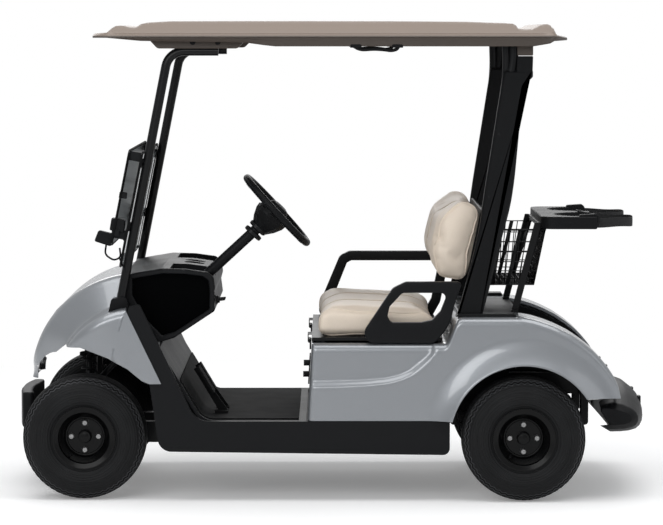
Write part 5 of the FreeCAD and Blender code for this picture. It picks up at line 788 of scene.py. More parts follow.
class CART_OT_tyres(bpy.types.Operator):
    """Makes the tyres with their tread blocks, grooves and sidewalls."""

    bl_idname = "cart.tyres"
    bl_label = "Tyres"

    bead, side_height = 0.1021, 0.1265
    crown_drop = 0.0045
    shallow, nick = 0.0006, 0.0008
    # Sidewall from the bead's seat outwards: radius over the bead and half width
    seat = ((0.0, 0.070), (0.0, 0.0835), (0.006, 0.0855), (0.014, 0.0860), (0.022, 0.0895), (0.028, 0.0950),
            (0.034, 0.0985), (0.0355, 0.0995), (0.040, 0.0998))
    # Sidewall further out: radius over the bead and distance in from the widest place
    wall = ((0.048, 0.0012), (0.060, 0.0), (0.072, 0.001), (0.0735, 0.0024), (0.075, 0.0016), (0.085, 0.0040),
            (0.095, 0.0085), (0.104, 0.0145), (0.111, 0.0205), (0.1155, 0.0255))
    # Crown: distance in from the tread's edge, 29 mm inside the widest place, and the kind of cut
    tread_edge = 0.029
    crown = ((0.0, "nick"), (0.0032, "lug"), (0.0064, "lug"), (0.0096, "gap"), (0.016, ""), (0.021, ""),
             (0.0225, "groove"), (0.0275, "groove"), (0.029, ""), (0.038, ""), (0.0395, "groove"),
             (0.0445, "groove"), (0.046, ""), (0.058, ""), (0.0595, "groove"), (0.0645, "groove"),
             (0.066, ""))

    def execute(self, context):
        low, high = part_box("tyre_front_left")
        size = high - low
        mesh = self.tyre(context.scene.cart_tyres, size.z / 2, size.y / 2)
        for name, centre, out in wheel_frames():
            made = bpy.data.objects.new("tyre_tread_" + name, mesh)
            context.scene.collection.objects.link(made)
            made.location = centre
            if out < 0:
                made.rotation_euler = (0.0, 0.0, math.pi)
            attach(made, "wheel_" + name)
            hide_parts("tyre_" + name)
        return {"FINISHED"}

    def tyre(self, sizes, radius, half):
        """The tyre about the Y axis, its outboard side towards +Y."""
        profile = self.profile(radius, half)
        steps = sizes.pitches * 8
        rows = []
        for k, turn in enumerate(turns(steps)):
            tooth = abs((k / steps * sizes.pitches) % 1.0 - 0.5) * 2
            reaches = [(r - self.depth(sizes.groove, kind, tooth), y) for r, y, kind in profile]
            rows.append([Vector((math.cos(turn) * r, y, math.sin(turn) * r)) for r, y in reaches])
        mesh = grid(rows, wrap_rows=True)
        mesh.flip_normals()
        shade_round(mesh, 40.0)
        mesh.materials.append(MATERIALS["tyre"])
        return mesh

    def profile(self, radius, half):
        """Points of (radius, y, kind of cut) from the inner bead over the crown to the outer bead."""
        scale = (radius - 0.004 - self.bead) / self.side_height
        line = [(self.bead + r * scale, y, "") for r, y in self.seat]
        line += [(self.bead + r * scale, half - d, "") for r, d in self.wall]
        edge = half - self.tread_edge
        places = [(edge - d, kind) for d, kind in self.crown] + [(0.0, "")]
        line += [(radius - self.crown_drop * (y / edge) ** 2, y, kind) for y, kind in places]
        return [(r, -y, kind) for r, y, kind in line[:-1]] + line[::-1]

    def depth(self, groove, kind, tooth):
        """How deep the tread is cut at a point, by its kind and its place between two teeth."""
        if kind == "nick":
            return self.nick if tooth < 0.5 else 0.0
        if kind == "lug":
            return groove if tooth > 0.45 else self.shallow
        if kind == "gap":
            return groove if tooth < 0.55 else self.shallow
        return groove if kind == "groove" else 0.0


class CART_OT_rims(bpy.types.Operator):
    """Adds the wheel nuts, the hub cap, a pressed step and the valve to each rim."""

    bl_idname = "cart.rims"
    bl_label = "Rim details"

    face = 0.020
    nut_circle, nut_lift = 0.0508, 0.0005
    # Profiles of radius and height over the rim's face or, for the step, over the wheel's middle plane
    nut = ((0.0, 0.0), (0.0125, 0.0), (0.0125, 0.002), (0.0105, 0.0045), (0.0105, 0.0125), (0.0085, 0.0155),
           (0.0045, 0.0155), (0.004, 0.0145), (0.0, 0.0142))
    cap = ((0.0255, 0.0), (0.0255, 0.003), (0.0220, 0.005), (0.0215, 0.022), (0.019, 0.0268), (0.012, 0.0292),
           (0.0, 0.030))
    step = ((0.066, 0.0203), (0.068, 0.0225), (0.0705, 0.0235), (0.073, 0.0228), (0.0745, 0.0245),
            (0.0765, 0.0300), (0.0782, 0.0345), (0.0785, 0.030), (0.0765, 0.0205))
    valve_cap = ((0.0, 0.0), (0.0052, 0.0), (0.0052, 0.008), (0.004, 0.010), (0.0, 0.010))
    valve_turn, valve_circle, valve_place = math.radians(-52), 0.0785, 0.040
    stem, stem_radius, stem_bend = ((-0.006, 0.0), (0.012, 0.002), (0.026, 0.006)), 0.0042, 0.01

    def execute(self, context):
        for name, centre, out in wheel_frames():
            axis = Vector((0.0, out, 0.0))
            face = centre + axis * self.face
            body = "wheel_" + name
            nuts = []
            for turn in turns(4):
                spoke = Vector((math.cos(turn), 0.0, math.sin(turn)))
                nuts.append(turned(self.nut, 12, face + spoke * self.nut_circle + axis * self.nut_lift, axis))
            add("nuts_" + name, nuts, "bright", 30.0, body)
            add("hub_cap_" + name, [turned(self.cap, 40, face, axis)], "rim_black", 35.0, body)
            add("rim_step_" + name, [turned(self.step, 72, centre, axis)], "rim_black", 45.0, body)
            add("valve_" + name, self.valve(centre, axis, out), "rubber", None, body)
        return {"FINISHED"}

    def valve(self, centre, axis, out):
        """The valve's stem and its cap."""
        lean = Vector((math.cos(self.valve_turn) * out, 0.0, math.sin(self.valve_turn)))
        foot = centre + lean * self.valve_circle + axis * self.valve_place
        stem = [foot + axis * reach + lean * bend for reach, bend in self.stem]
        cap = turned(self.valve_cap, 12, stem[-1] - axis * 0.002, axis + lean * 0.2)
        return [wires([smooth_path(stem, self.stem_bend)], self.stem_radius, 10), cap]


# Cushions


CLOTH_FRAMES = 20
CLOTH = {
    "quality": 5, "mass": 0.3, "tension_stiffness": 12.0, "compression_stiffness": 12.0,
    "bending_stiffness": 0.6, "use_pressure": True, "uniform_pressure_force": 4.0,
}
SHRINK_SHARE = 0.55
SEAM_SPACING = 0.006


def cushion(name, body, seams):
    """A vinyl cover in place of a CAD pad, with piping at shares of its half width."""
    sizes = bpy.context.scene.cart_cushions
    source = name + "_cushion"
    made = cover(name + "_cover", source, sizes)
    sub = made.modifiers.new("subdivision", "SUBSURF")
    sub.levels = 1
    sub.render_levels = 1
    apply_modifier(made, sub)
    made.data.materials.clear()
    made.data.materials.append(MATERIALS["cushion"])
    shade_round(made.data, None)
    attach(made, body)
    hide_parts(source)
    reach = max(v.co.y for v in made.data.vertices)
    loops = [seam_loop(made, share * reach) for share in seams]
    add(name + "_piping", [wires(loops, sizes.seam)], "cushion", None, body)


def cover(name, source, sizes):
    """A cover swollen by cloth simulation over a copy of a CAD pad."""
    scene = bpy.context.scene
    made = bpy.data.objects.new(name, NODES[source].data.copy())
    made.data.materials.clear()
    scene.collection.objects.link(made)
    shrink(made.data, sizes.swell * SHRINK_SHARE)
    remesh = made.modifiers.new("remesh", "REMESH")
    remesh.mode = "VOXEL"
    remesh.voxel_size = sizes.voxel
    apply_modifier(made, remesh)
    rest = [v.co.copy() for v in made.data.vertices]
    cloth = made.modifiers.new("cloth", "CLOTH")
    for setting, value in CLOTH.items():
        setattr(cloth.settings, setting, value)
    cloth.settings.effector_weights.gravity = 0.0
    for span in (scene, cloth.point_cache):
        span.frame_start = 1
        span.frame_end = CLOTH_FRAMES
    for n in range(1, CLOTH_FRAMES + 1):
        scene.frame_set(n)
    apply_modifier(made, cloth)
    scene.frame_set(1)
    for vertex, home in zip(made.data.vertices, rest):
        move = vertex.co - home
        if move.length > sizes.swell:
            vertex.co = home + move.normalized() * sizes.swell
    return made


def shrink(mesh, amount):
    """Draws a closed mesh in from all sides, so that the swollen cover ends near the pad."""
    low = Vector([min(v.co[k] for v in mesh.vertices) for k in range(3)])
    high = Vector([max(v.co[k] for v in mesh.vertices) for k in range(3)])
    middle, size = (low + high) / 2, high - low
    for v in mesh.vertices:
        for k in range(3):
            v.co[k] = middle[k] + (v.co[k] - middle[k]) * (1 - 2 * amount / size[k])


def apply_modifier(made, modifier):
    """Applies a modifier by taking the evaluated mesh."""
    graph = bpy.context.evaluated_depsgraph_get()
    mesh = bpy.data.meshes.new_from_object(made.evaluated_get(graph))
    made.modifiers.remove(modifier)
    old = made.data
    made.data = mesh
    bpy.data.meshes.remove(old)


def seam_loop(made, y):
    """Points round a cover where a plane across the cart cuts it, in order."""
    work = bmesh.new()
    work.from_mesh(made.data)
    every = work.verts[:] + work.edges[:] + work.faces[:]
    cut = bmesh.ops.bisect_plane(work, geom=every, plane_co=(0.0, y, 0.0), plane_no=(0.0, 1.0, 0.0))
    points = [v.co.copy() for v in cut["geom_cut"] if isinstance(v, bmesh.types.BMVert)]
    work.free()
    middle = sum(points, Vector((0.0, 0.0, 0.0))) / len(points)
    points.sort(key=lambda p: math.atan2(p.z - middle.z, p.x - middle.x))
    spaced = [points[0]]
    for point in points[1:]:
        if (point - spaced[-1]).length > SEAM_SPACING:
            spaced.append(point)
    loop = []
    for n in range(len(spaced)):
        near = [spaced[(n + k) % len(spaced)] for k in (-2, -1, 0, 1, 2)]
        loop.append((near[0] + near[1] * 2 + near[2] * 3 + near[3] * 2 + near[4]) / 9)
    return loop + loop[:2]


class CART_OT_seat(bpy.types.Operator):
    """Makes the seat cushion's cover and its piping."""

    bl_idname = "cart.seat"
    bl_label = "Seat cushion"

    def execute(self, context):
        cushion("seat", "seat", (-0.34, 0.34, -0.945, 0.945))
        return {"FINISHED"}


class CART_OT_backrest(bpy.types.Operator):
    """Makes the backrest's cover and its piping."""

    bl_idname = "cart.backrest"
    bl_label = "Backrest cushion"

    def execute(self, context):
        cushion("backrest", "chassis", (-0.935, 0.0, 0.935))
        return {"FINISHED"}


# Roof and its supports


# The roof from the side as shares of its length: the top over rim to crown, the lower edge over edge to rim
ROOF_TOP = [
    (0, 0.04), (0.033, 0.1), (0.041, 0.42), (0.049, 0.62), (0.058, 0.66), (0.066, 0.62), (0.077, 0.52),
    (0.0925, 0.5), (0.1016, 0.75), (0.115, 0.88), (0.163, 0.98), (0.3, 1), (0.447, 1), (0.62, 0.985),
    (0.787, 0.94), (0.87, 0.84), (0.885, 0.79), (0.892, 0.66), (0.897, 0.38), (0.905, 0.35), (0.925, 0.36),
    (0.934, 0.52), (0.942, 0.68), (0.951, 0.75), (0.958, 0.76), (0.9645, 0.68), (0.97, 0.42), (0.977, -0.1),
    (1, -0.2),
]
ROOF_UNDER = [
    (0, 0.8), (0.0136, 0.75), (0.104, 0.44), (0.322, 0.31), (0.3615, 0.1), (0.386, 0), (0.926, 0),
    (0.9614, 0.23), (0.97, 0.42), (1, 0.5),
]


class CART_OT_roof(bpy.types.Operator):
    """Makes the moulded roof with its crown, its cross ridges and its drip edge."""

    bl_idname = "cart.roof"
    bl_label = "Roof"

    corner = 0.11
    thick = 0.0055
    closest = 0.0015
    end_shares = (0.002, 0.004, 0.012, 0.02, 0.98, 0.988, 0.996, 0.998)
    across = (0.0, 0.14, 0.28, 0.38, 0.425, 0.45, 0.475, 0.5, 0.525, 0.545, 0.56, 0.572)
    # The crown falls to the rim in a smooth part and a straight one: shares of the fall and of the half width
    smooth_share, smooth_start, smooth_run, straight_start = 0.35, 0.72, 0.29, 0.78
    # The drip edge, as distances in from the widest place and down from the lip
    drip = ((0.0035, 0.0008), (0.0, 0.0035), (0.0005, 0.0065), (0.005, 0.0085))

    def execute(self, context):
        low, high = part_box("roof")
        self.front, self.rear, self.half = low.x, high.x, high.y
        self.rim, self.crown, self.edge = low.z + ROOF_RIM, high.z, low.z
        sections = [self.section(x, solid) for x, solid in self.stations()]
        made = add("roof_shell", [loft(sections)], "roof_beige", 32.0)
        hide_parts("roof")
        return {"FINISHED"}

    def stations(self):
        """Places along the roof, the first and last two solid."""
        marks = {row[0] for row in ROOF_TOP + ROOF_UNDER} | {n / 56 for n in range(57)} | set(self.end_shares)
        kept = [0.0]
        for mark in sorted(marks):
            if mark - kept[-1] > self.closest:
                kept.append(mark)
        reach = self.rear - self.front
        return [(self.front + m * reach, n < 2 or n > len(kept) - 3) for n, m in enumerate(kept)]

    def section(self, x, solid):
        """The roof across at a place, from the middle over the right edge and back under."""
        share = (x - self.front) / (self.rear - self.front)
        top = self.rim + along(ROOF_TOP, share) * (self.crown - self.rim)
        edge = self.edge + along(ROOF_UNDER, share) * (self.rim - self.edge)
        missing = max(0.0, self.corner - min(x - self.front, self.rear - x))
        half = self.half - self.corner + math.sqrt(max(0.0, self.corner ** 2 - missing ** 2))
        lip = min(self.rim - 0.006, top - 0.004)
        points = []
        for y in self.across:
            y = min(y, half - 0.008) * (half / self.half if y else 0.0)
            fall = self.smooth_share * smooth_step((y / half - self.smooth_start) / self.smooth_run)
            straight = max(0.0, (y / half - self.straight_start) / (1 - self.straight_start))
            fall += (1 - self.smooth_share) * straight
            slope = self.crown - (self.crown - self.rim - 0.001) * fall
            points.append((y, min(top, max(slope, lip))))
        low = min(edge, lip - 0.006)
        deep = lip - low
        groove = lip - 0.0105 if deep > 0.02 else lip - deep * 0.55
        points += [(half - d, lip - h) for d, h in self.drip] + [(half - 0.006, groove)]
        bend, foot = half - 0.2 * deep, half - 0.42 * deep
        points += [(bend - 0.007, lip - 0.5 * deep), (bend - 0.0075, lip - 0.52 * deep)]
        points += [(foot - 0.009, low + 0.0015), (foot - 0.012, low)]
        if solid:
            points += [(half - 0.025, low), (half - 0.05, low), (0.25, low), (0.0, low)]
        else:
            points += [(foot - 0.019, low + 0.001), (foot - 0.023, min(lip, top) - self.thick)]
            points += [(0.25, top - self.thick), (0.0, top - self.thick)]
        left = [(-y, z) for y, z in points[1:-1][::-1]]
        return [Vector((x, y, z)) for y, z in points + left]


class CART_OT_roof_fittings(bpy.types.Operator):
    """Adds the struts' brackets, their bolts and the grab handles under the roof's sides."""

    bl_idname = "cart.roof_fittings"
    bl_label = "Roof fittings"

    # Outlines and a handle's path as places along the cart and heights over the roof's lower edge
    front_bracket = ((-0.675, 0.024), (-0.645, -0.008), (-0.349, -0.008), (-0.323, 0.018), (-0.323, 0.045),
                     (-0.675, 0.045))
    front_radii = [0.004, 0.008, 0.008, 0.004, 0, 0]
    seam = ((-0.3795, -0.006), (-0.376, -0.006), (-0.376, 0.03), (-0.3795, 0.03))
    rear_bracket = ((0.688, -0.034), (0.747, -0.034), (0.747, 0.045), (0.688, 0.045))
    rear_radii = [0.004, 0.004, 0, 0]
    handle = ((0.086, 0.02), (0.086, -0.004), (0.112, -0.0125), (0.16, -0.0095), (0.196, -0.012),
              (0.222, -0.016), (0.246, -0.009), (0.247, 0.02))
    # A handle's foot about its own place
    foot = ((-0.022, -0.005), (0.022, -0.005), (0.018, 0.012), (-0.018, 0.012))
    feet, foot_half, handle_y = (0.09, 0.243), 0.012, 0.546
    # How far the brackets' faces and the seam's stand from the cart's middle
    front_near, front_far, seam_near, seam_far = 0.452, 0.506, 0.5, 0.5072
    rear_near, rear_far = 0.458, 0.502
    bolt_places, bolt_lift, bolt_height = (-0.514, -0.421), 0.016, 0.006

    def execute(self, context):
        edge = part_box("roof")[0].z
        outline = moved(self.front_bracket, 0.0, edge)
        cast = slab(outline, self.front_radii, self.front_near, self.front_far, 0.003)
        seam = slab(moved(self.seam, 0.0, edge), 0, self.seam_near, self.seam_far, 0.0005)
        made = add("front_brackets", [cast, seam], "roof_beige", pair=True)
        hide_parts("roof_brackets")
        outline = moved(self.rear_bracket, 0.0, edge)
        block = slab(outline, self.rear_radii, self.rear_near, self.rear_far)
        add("rear_brackets", [block], "roof_beige", pair=True)
        bolts = []
        for x in self.bolt_places:
            place = (x, self.front_far, edge + self.bolt_lift)
            bolts.append(bolt(place, (0.0, 1.0, 0.0), context.scene.cart_trim.bolt, self.bolt_height))
        add("roof_bolts", bolts, "black_plastic", pair=True)
        path = [(x, self.handle_y, z) for x, z in moved(self.handle, 0.0, edge)]
        parts = [wires([smooth_path(path, 0.02, 6)], 0.0065, 12)]
        near, far = self.handle_y - self.foot_half, self.handle_y + self.foot_half
        parts += [slab(moved(self.foot, x, edge), 0.004, near, far) for x in self.feet]
        add("grab_handles", parts, "black_plastic", 35.0, pair=True)
        return {"FINISHED"}


# A rear strut's cover from the side, as shares of its length and height
STRUT_COVER = [
    (0, 0), (0.064, 0.063), (0.179, 0.188), (0.296, 0.332), (0.346, 0.447), (0.614, 0.946), (1, 0.946),
    (1, 0.92), (0.875, 0.887), (0.761, 0.524), (0.707, 0.42), (0.596, 0.303), (0.429, 0.101), (0.332, 0),
]


class CART_OT_struts(bpy.types.Operator):
    """Makes the rear struts: moulded cover, head, tubes and foot plate, with their bolts."""

    bl_idname = "cart.struts"
    bl_label = "Struts"

    top = 1.654
    near, far = 0.456, 0.504
    front, rear = 0.467, 0.747
    bend, foot_bend, tip_bend = 0.09, 0.012, 0.006
    # Points along the cart and up it, and how far off the strut's middle a tube stands
    head = [(0.686, 1.594), (0.745, 1.586), (0.747, top), (0.688, top)]
    inner_tube = ((0.618, 1.30), (0.65, 1.6), (0.646, 1.712))
    outer_tube = ((0.664, 1.58), (0.676, 1.64), (0.675, 1.712))
    outer_off = 0.004
    plate_rear, plate_height, plate_half = 0.69, 0.011, 0.04
    foot_bolts, foot_bolt_off = (0.49, 0.66), 0.028
    cover_bolt_shares, cover_bolt_in = (0.22, 0.46, 0.7), 0.02

    def execute(self, context):
        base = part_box("rear_struts")[0].z
        middle = (self.near + self.far) / 2
        bends = [self.bend] * 4
        tips = [self.foot_bend, self.tip_bend, self.tip_bend, self.foot_bend]
        radii = [0.002] + bends + tips + bends + [0.004]
        outline = between(STRUT_COVER, self.front, self.rear, base, self.top)
        cover = slab(outline, radii, self.near, self.far, 0.008, steps=5)
        head = slab(self.head, 0.004, self.near + 0.001, self.far - 0.001)
        made = add("strut_covers", [cover, head], "black_plastic", pair=True)
        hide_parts("rear_struts")
        inner = smooth_path([(x, middle, z) for x, z in self.inner_tube], 0.09, 8)
        outer = smooth_path([(x, middle + self.outer_off, z) for x, z in self.outer_tube], 0.05, 6)
        foot, top = base - 0.0005, base + self.plate_height
        line = [(self.front - 0.004, foot), (self.plate_rear, foot)]
        line += [(self.plate_rear - 0.006, top), (self.front + 0.004, top)]
        plate = slab(line, 0, middle - self.plate_half, middle + self.plate_half)
        tubes = [wires([inner], 0.0145, 16), wires([outer], 0.0175, 16), plate]
        add("strut_tubes", tubes, "steel_dark", 35.0, pair=True)
        add("strut_bolts", self.bolts(context.scene.cart_trim.bolt, base, middle), "steel_dark", pair=True)
        return {"FINISHED"}

    def bolts(self, size, base, middle):
        """Bolts of the foot plate, and smaller ones up the cover's front edge."""
        up, out = (0.0, 0.0, 1.0), (0.0, 1.0, 0.0)
        top = base + self.plate_height
        made = [bolt((x, middle + self.foot_bolt_off, top), up, size, 0.006) for x in self.foot_bolts]
        front_edge = [(b, a) for a, b in STRUT_COVER[:6]]
        for share in self.cover_bolt_shares:
            z = base + share * (self.top - base)
            x = self.front + along(front_edge, share) * (self.rear - self.front) + self.cover_bolt_in
            made.append(bolt((x, self.far - 0.002, z), out, size * 0.7, 0.003))
        return made


# Rear body and bumper


# The step in the pod's side: its edge on the face and its foot in the recess, as shares of length and height
STEP_EDGE = [
    (-0.05, 0.313), (0.15, 0.32), (0.273, 0.334), (0.36, 0.357), (0.408, 0.38), (0.481, 0.437),
    (0.533, 0.518), (0.583, 0.627), (0.63, 0.777), (0.63, 1.1),
]
STEP_FOOT = [
    (-0.05, 0.394), (0.15, 0.398), (0.273, 0.407), (0.37, 0.422), (0.429, 0.45), (0.471, 0.495),
    (0.496, 0.539), (0.546, 0.622), (0.608, 0.777), (0.608, 1.1),
]
# The fender's top behind the shelf, as shares of its length and of its fall to the tail
FENDER_TOP = [
    (0, 0.0), (0.12, 0.025), (0.25, 0.075), (0.36, 0.13), (0.49, 0.21), (0.61, 0.31), (0.71, 0.41),
    (0.79, 0.51), (0.86, 0.617), (0.925, 0.74), (0.965, 0.85), (0.987, 1.0),
]


class CART_OT_rear_body(bpy.types.Operator):
    """Makes the seat pod and the rear fenders, with the step in their sides and the flared arches."""

    bl_idname = "cart.rear_body"
    bl_label = "Rear body"

    seat, tail, side = 0.588, 0.384, 0.562
    fender_front, fender_rear = 0.706, 1.08
    arch, flare_inner, flare_outer, flare_power = 0.276, 0.282, 0.376, 1.7
    step_deep, corner = 0.015, 0.026
    lean, lean_reach = 0.016, 0.03
    # The rise from the seat to the shelf: places with heights over the seat, and with depths under the shelf
    rise_foot = ((0.418, 0.0), (0.428, 0.004), (0.438, 0.018))
    rise_head = ((0.462, 0.018), (0.47, 0.005), (0.482, 0.0))
    # Ends of the seat's opening and of the closed shelf behind it, and the body's inner width beside them
    seat_end, shelf_end = 0.3741, 0.4941
    seat_inner, fender_inner = 0.5, 0.34
    # Steps between stations near the front, along the body, at the arch and near the rear
    front_steps = (0.0, 0.0012, 0.0045, 0.0095, 0.0165, 0.026)
    first_station, pitch, count = 0.036, 0.009, 126
    arch_start_steps, arch_end_steps = (-0.0001, 0.0015, 0.004), (-0.006, -0.003, 0.0)
    marks = [0.374, 0.3745, 0.418, 0.428, 0.494, 0.4945]
    rear_steps = (0.0, 0.0008, 0.002, 0.004, 0.007, 0.011, 0.016, 0.022)
    side_rows, fillet_rows = 46, 6

    def execute(self, context):
        low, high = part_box("rear_body")
        wheel_low, wheel_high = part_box("rim_rear_left")
        self.axle = (wheel_low.x + wheel_high.x) / 2
        self.hub = (wheel_low.z + wheel_high.z) / 2
        self.front, self.rear, self.out = low.x, high.x, high.y
        self.floor, self.shelf = low.z, high.z
        area = (self.front, self.axle, self.floor, self.shelf)
        self.edge_line = between(STEP_EDGE, *area)
        self.foot_line = between(STEP_FOOT, *area)
        run, fall = self.fender_rear - self.fender_front, self.shelf - self.tail
        self.top_line = [(self.front, self.seat)] + [(x, self.seat + z) for x, z in self.rise_foot]
        self.top_line += [(x, self.shelf - z) for x, z in self.rise_head]
        self.top_line += [(self.fender_front + a * run, self.shelf - b * fall) for a, b in FENDER_TOP]
        right = grid([[Vector(point) for point in self.section(x)] for x in self.stations()])
        shell = join_meshes("rear_shell", [right, mirror_mesh(right), self.front_wall()])
        shell.flip_normals()
        made = add("rear_shell", [shell], "body_silver", 50.0)
        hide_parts("rear_body")
        return {"FINISHED"}

    def stations(self):
        """Places along the body, closer where its outline turns."""
        places = [self.front + step for step in self.front_steps]
        places += [self.front + self.first_station + self.pitch * n for n in range(self.count)]
        start = self.axle - math.sqrt(self.arch ** 2 - (self.floor - self.hub) ** 2)
        end = self.axle + math.sqrt(self.arch ** 2 - (self.tail - self.hub) ** 2)
        places += [start + step for step in self.arch_start_steps]
        places += [end + step for step in self.arch_end_steps]
        places += self.marks + [self.rear - step for step in self.rear_steps]
        return sorted(p for p in set(places) if self.front <= p <= self.rear + TINY)

    def lower(self, x):
        """The lower edge: floor, arch, tail."""
        reach = abs(x - self.axle)
        arch = self.hub + math.sqrt(max(0.0, self.arch ** 2 - reach ** 2))
        return max(arch, self.floor if x < self.axle else self.tail)

    def leaning(self, x, z):
        """The pod's front leans back as it rises."""
        lean = self.lean * (z - self.floor) / (self.seat - self.floor)
        near = max(0.0, 1.0 - (x - self.front) / self.lean_reach)
        return x + min(lean, self.lean) * near

    def outward(self, x, z):
        """Place of the side's face at a point, drawn in above the step and swelling out at the arch."""
        to_edge = line_distance(self.edge_line, x, z)
        to_foot = line_distance(self.foot_line, x, z)
        step = 0.0
        if to_foot >= 0:
            step = 1.0
        elif to_edge > 0:
            step = smooth_step(to_edge / (to_edge - to_foot))
        y = self.side - self.step_deep * step
        reach = math.hypot(x - self.axle, z - self.hub)
        swell = 1 - (reach - self.flare_inner) / (self.flare_outer - self.flare_inner)
        if swell > 0:
            flare = (self.out - self.side) * min(1.0, swell) ** self.flare_power
            y += flare * (1.0 if step < 0.01 else 1.0 - step)
        missing = self.corner - (x - self.front)
        if missing > 0:
            y -= self.corner - math.sqrt(max(0.0, self.corner ** 2 - missing ** 2))
        return y

    def section(self, x):
        """Points from the lower edge up the side and over the top at a place."""
        low, top = self.lower(x), along(self.top_line, x)
        fillet = min(0.03, max(0.002, (top - low) * 0.3))
        shoulder = top - fillet
        foot = self.outward(x, low)
        ahead = self.leaning(x, low)
        points = [(ahead, foot - 0.022, low + 0.004), (ahead, foot - 0.006, low)]
        for n in range(self.side_rows + 1):
            z = low + (shoulder - low) * n / self.side_rows if n else low + 0.0015
            points.append((self.leaning(x, z), self.outward(x, z), z))
        last = points[-1][1]
        for k in range(1, self.fillet_rows + 1):
            turn = math.pi / 2 * k / self.fillet_rows
            z = shoulder + fillet * math.sin(turn)
            points.append((self.leaning(x, z), last - fillet * (1 - math.cos(turn)), z))
        inner = self.seat_inner if x <= self.seat_end else 0.0 if x <= self.shelf_end else self.fender_inner
        inner = min(inner, last - fillet - 0.004)
        ahead = self.leaning(x, top)
        for share in (0.35, 0.7, 1.0):
            points.append((ahead, last - fillet + (inner - last + fillet) * share, top))
        return points + [(ahead, inner, top - 0.012)]

    def front_wall(self):
        """The pod's front under the seat."""
        rows = []
        for n in range(25):
            z = self.floor + (self.seat - 0.03 - self.floor) * n / 24
            x, half = self.leaning(self.front, z), self.outward(self.front, z)
            rows.append([Vector((x, half * (k / 20 - 1), z)) for k in range(41)])
        return grid(rows)


def line_distance(line, x, z):
    """Distance from a line in the side plane, more than zero above it or ahead of its end."""
    best = None
    for (ax, az), (bx, bz) in zip(line, line[1:]):
        dx, dz = bx - ax, bz - az
        t = min(1.0, max(0.0, ((x - ax) * dx + (z - az) * dz) / (dx * dx + dz * dz)))
        near = math.hypot(x - ax - t * dx, z - az - t * dz)
        side = dx * (z - az) - dz * (x - ax)
        if best is None or near < best[0] - 1e-9:
            best = (near, 1.0 if side > 0 else -1.0)
    return best[0] * best[1]


# The rear bumper from the side, as shares of its depth and height
BUMPER_LINE = [
    (0, 0), (0.3, 0.005), (0.576, 0.027), (0.8, 0.08), (0.915, 0.16), (0.985, 0.27), (1, 0.38), (0.985, 0.5),
    (0.93, 0.636), (0.84, 0.74), (0.73, 0.818), (0.475, 0.947), (0.24, 1), (0.08, 1),
]


class CART_OT_rear_bumper(bpy.types.Operator):
    """Makes the moulded rear bumper, bowed in plan."""

    bl_idname = "cart.rear_bumper"
    bl_label = "Rear bumper"

    count = 44
    under, over, depth = 0.21, 0.397, 0.118
    bow_in, bow_up, bow_down = 0.06, 0.058, 0.042
    end_in, end_drop = 0.02, 0.012
    # The wings reach forward beside the body from this far out
    wing_start, wing_run = 0.395, 0.012
    wing_low, wing_high = 1.046, 1.004

    def execute(self, context):
        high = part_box("rear_bumper")[1]
        sections = []
        for n in range(self.count + 1):
            end = 1.0 if n in (0, self.count) else 0.0
            y = high.y * (2 * n / self.count - 1) * (1 - 0.0005 * end)
            bow = (y / high.y) ** 2
            rear = high.x - 0.0005 - self.bow_in * bow - self.end_in * end
            under = self.under + self.bow_up * bow + self.end_drop * end
            over = self.over - self.bow_down * bow - self.end_drop * end
            wing = smooth_step((abs(y) - self.wing_start) / self.wing_run)
            start = rear - self.depth
            line = [(start - wing * (start - self.wing_low), under + 0.004)]
            line += between(BUMPER_LINE, start, rear, under, over)
            line.append((start - wing * (start - self.wing_high), over - 0.012 * wing))
            sections.append([Vector((x, y, z)) for x, z in line])
        made = add("bumper_shell", [loft(sections)], "black_plastic", 40.0)
        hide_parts("rear_bumper")
        return {"FINISHED"}


# Bag rack


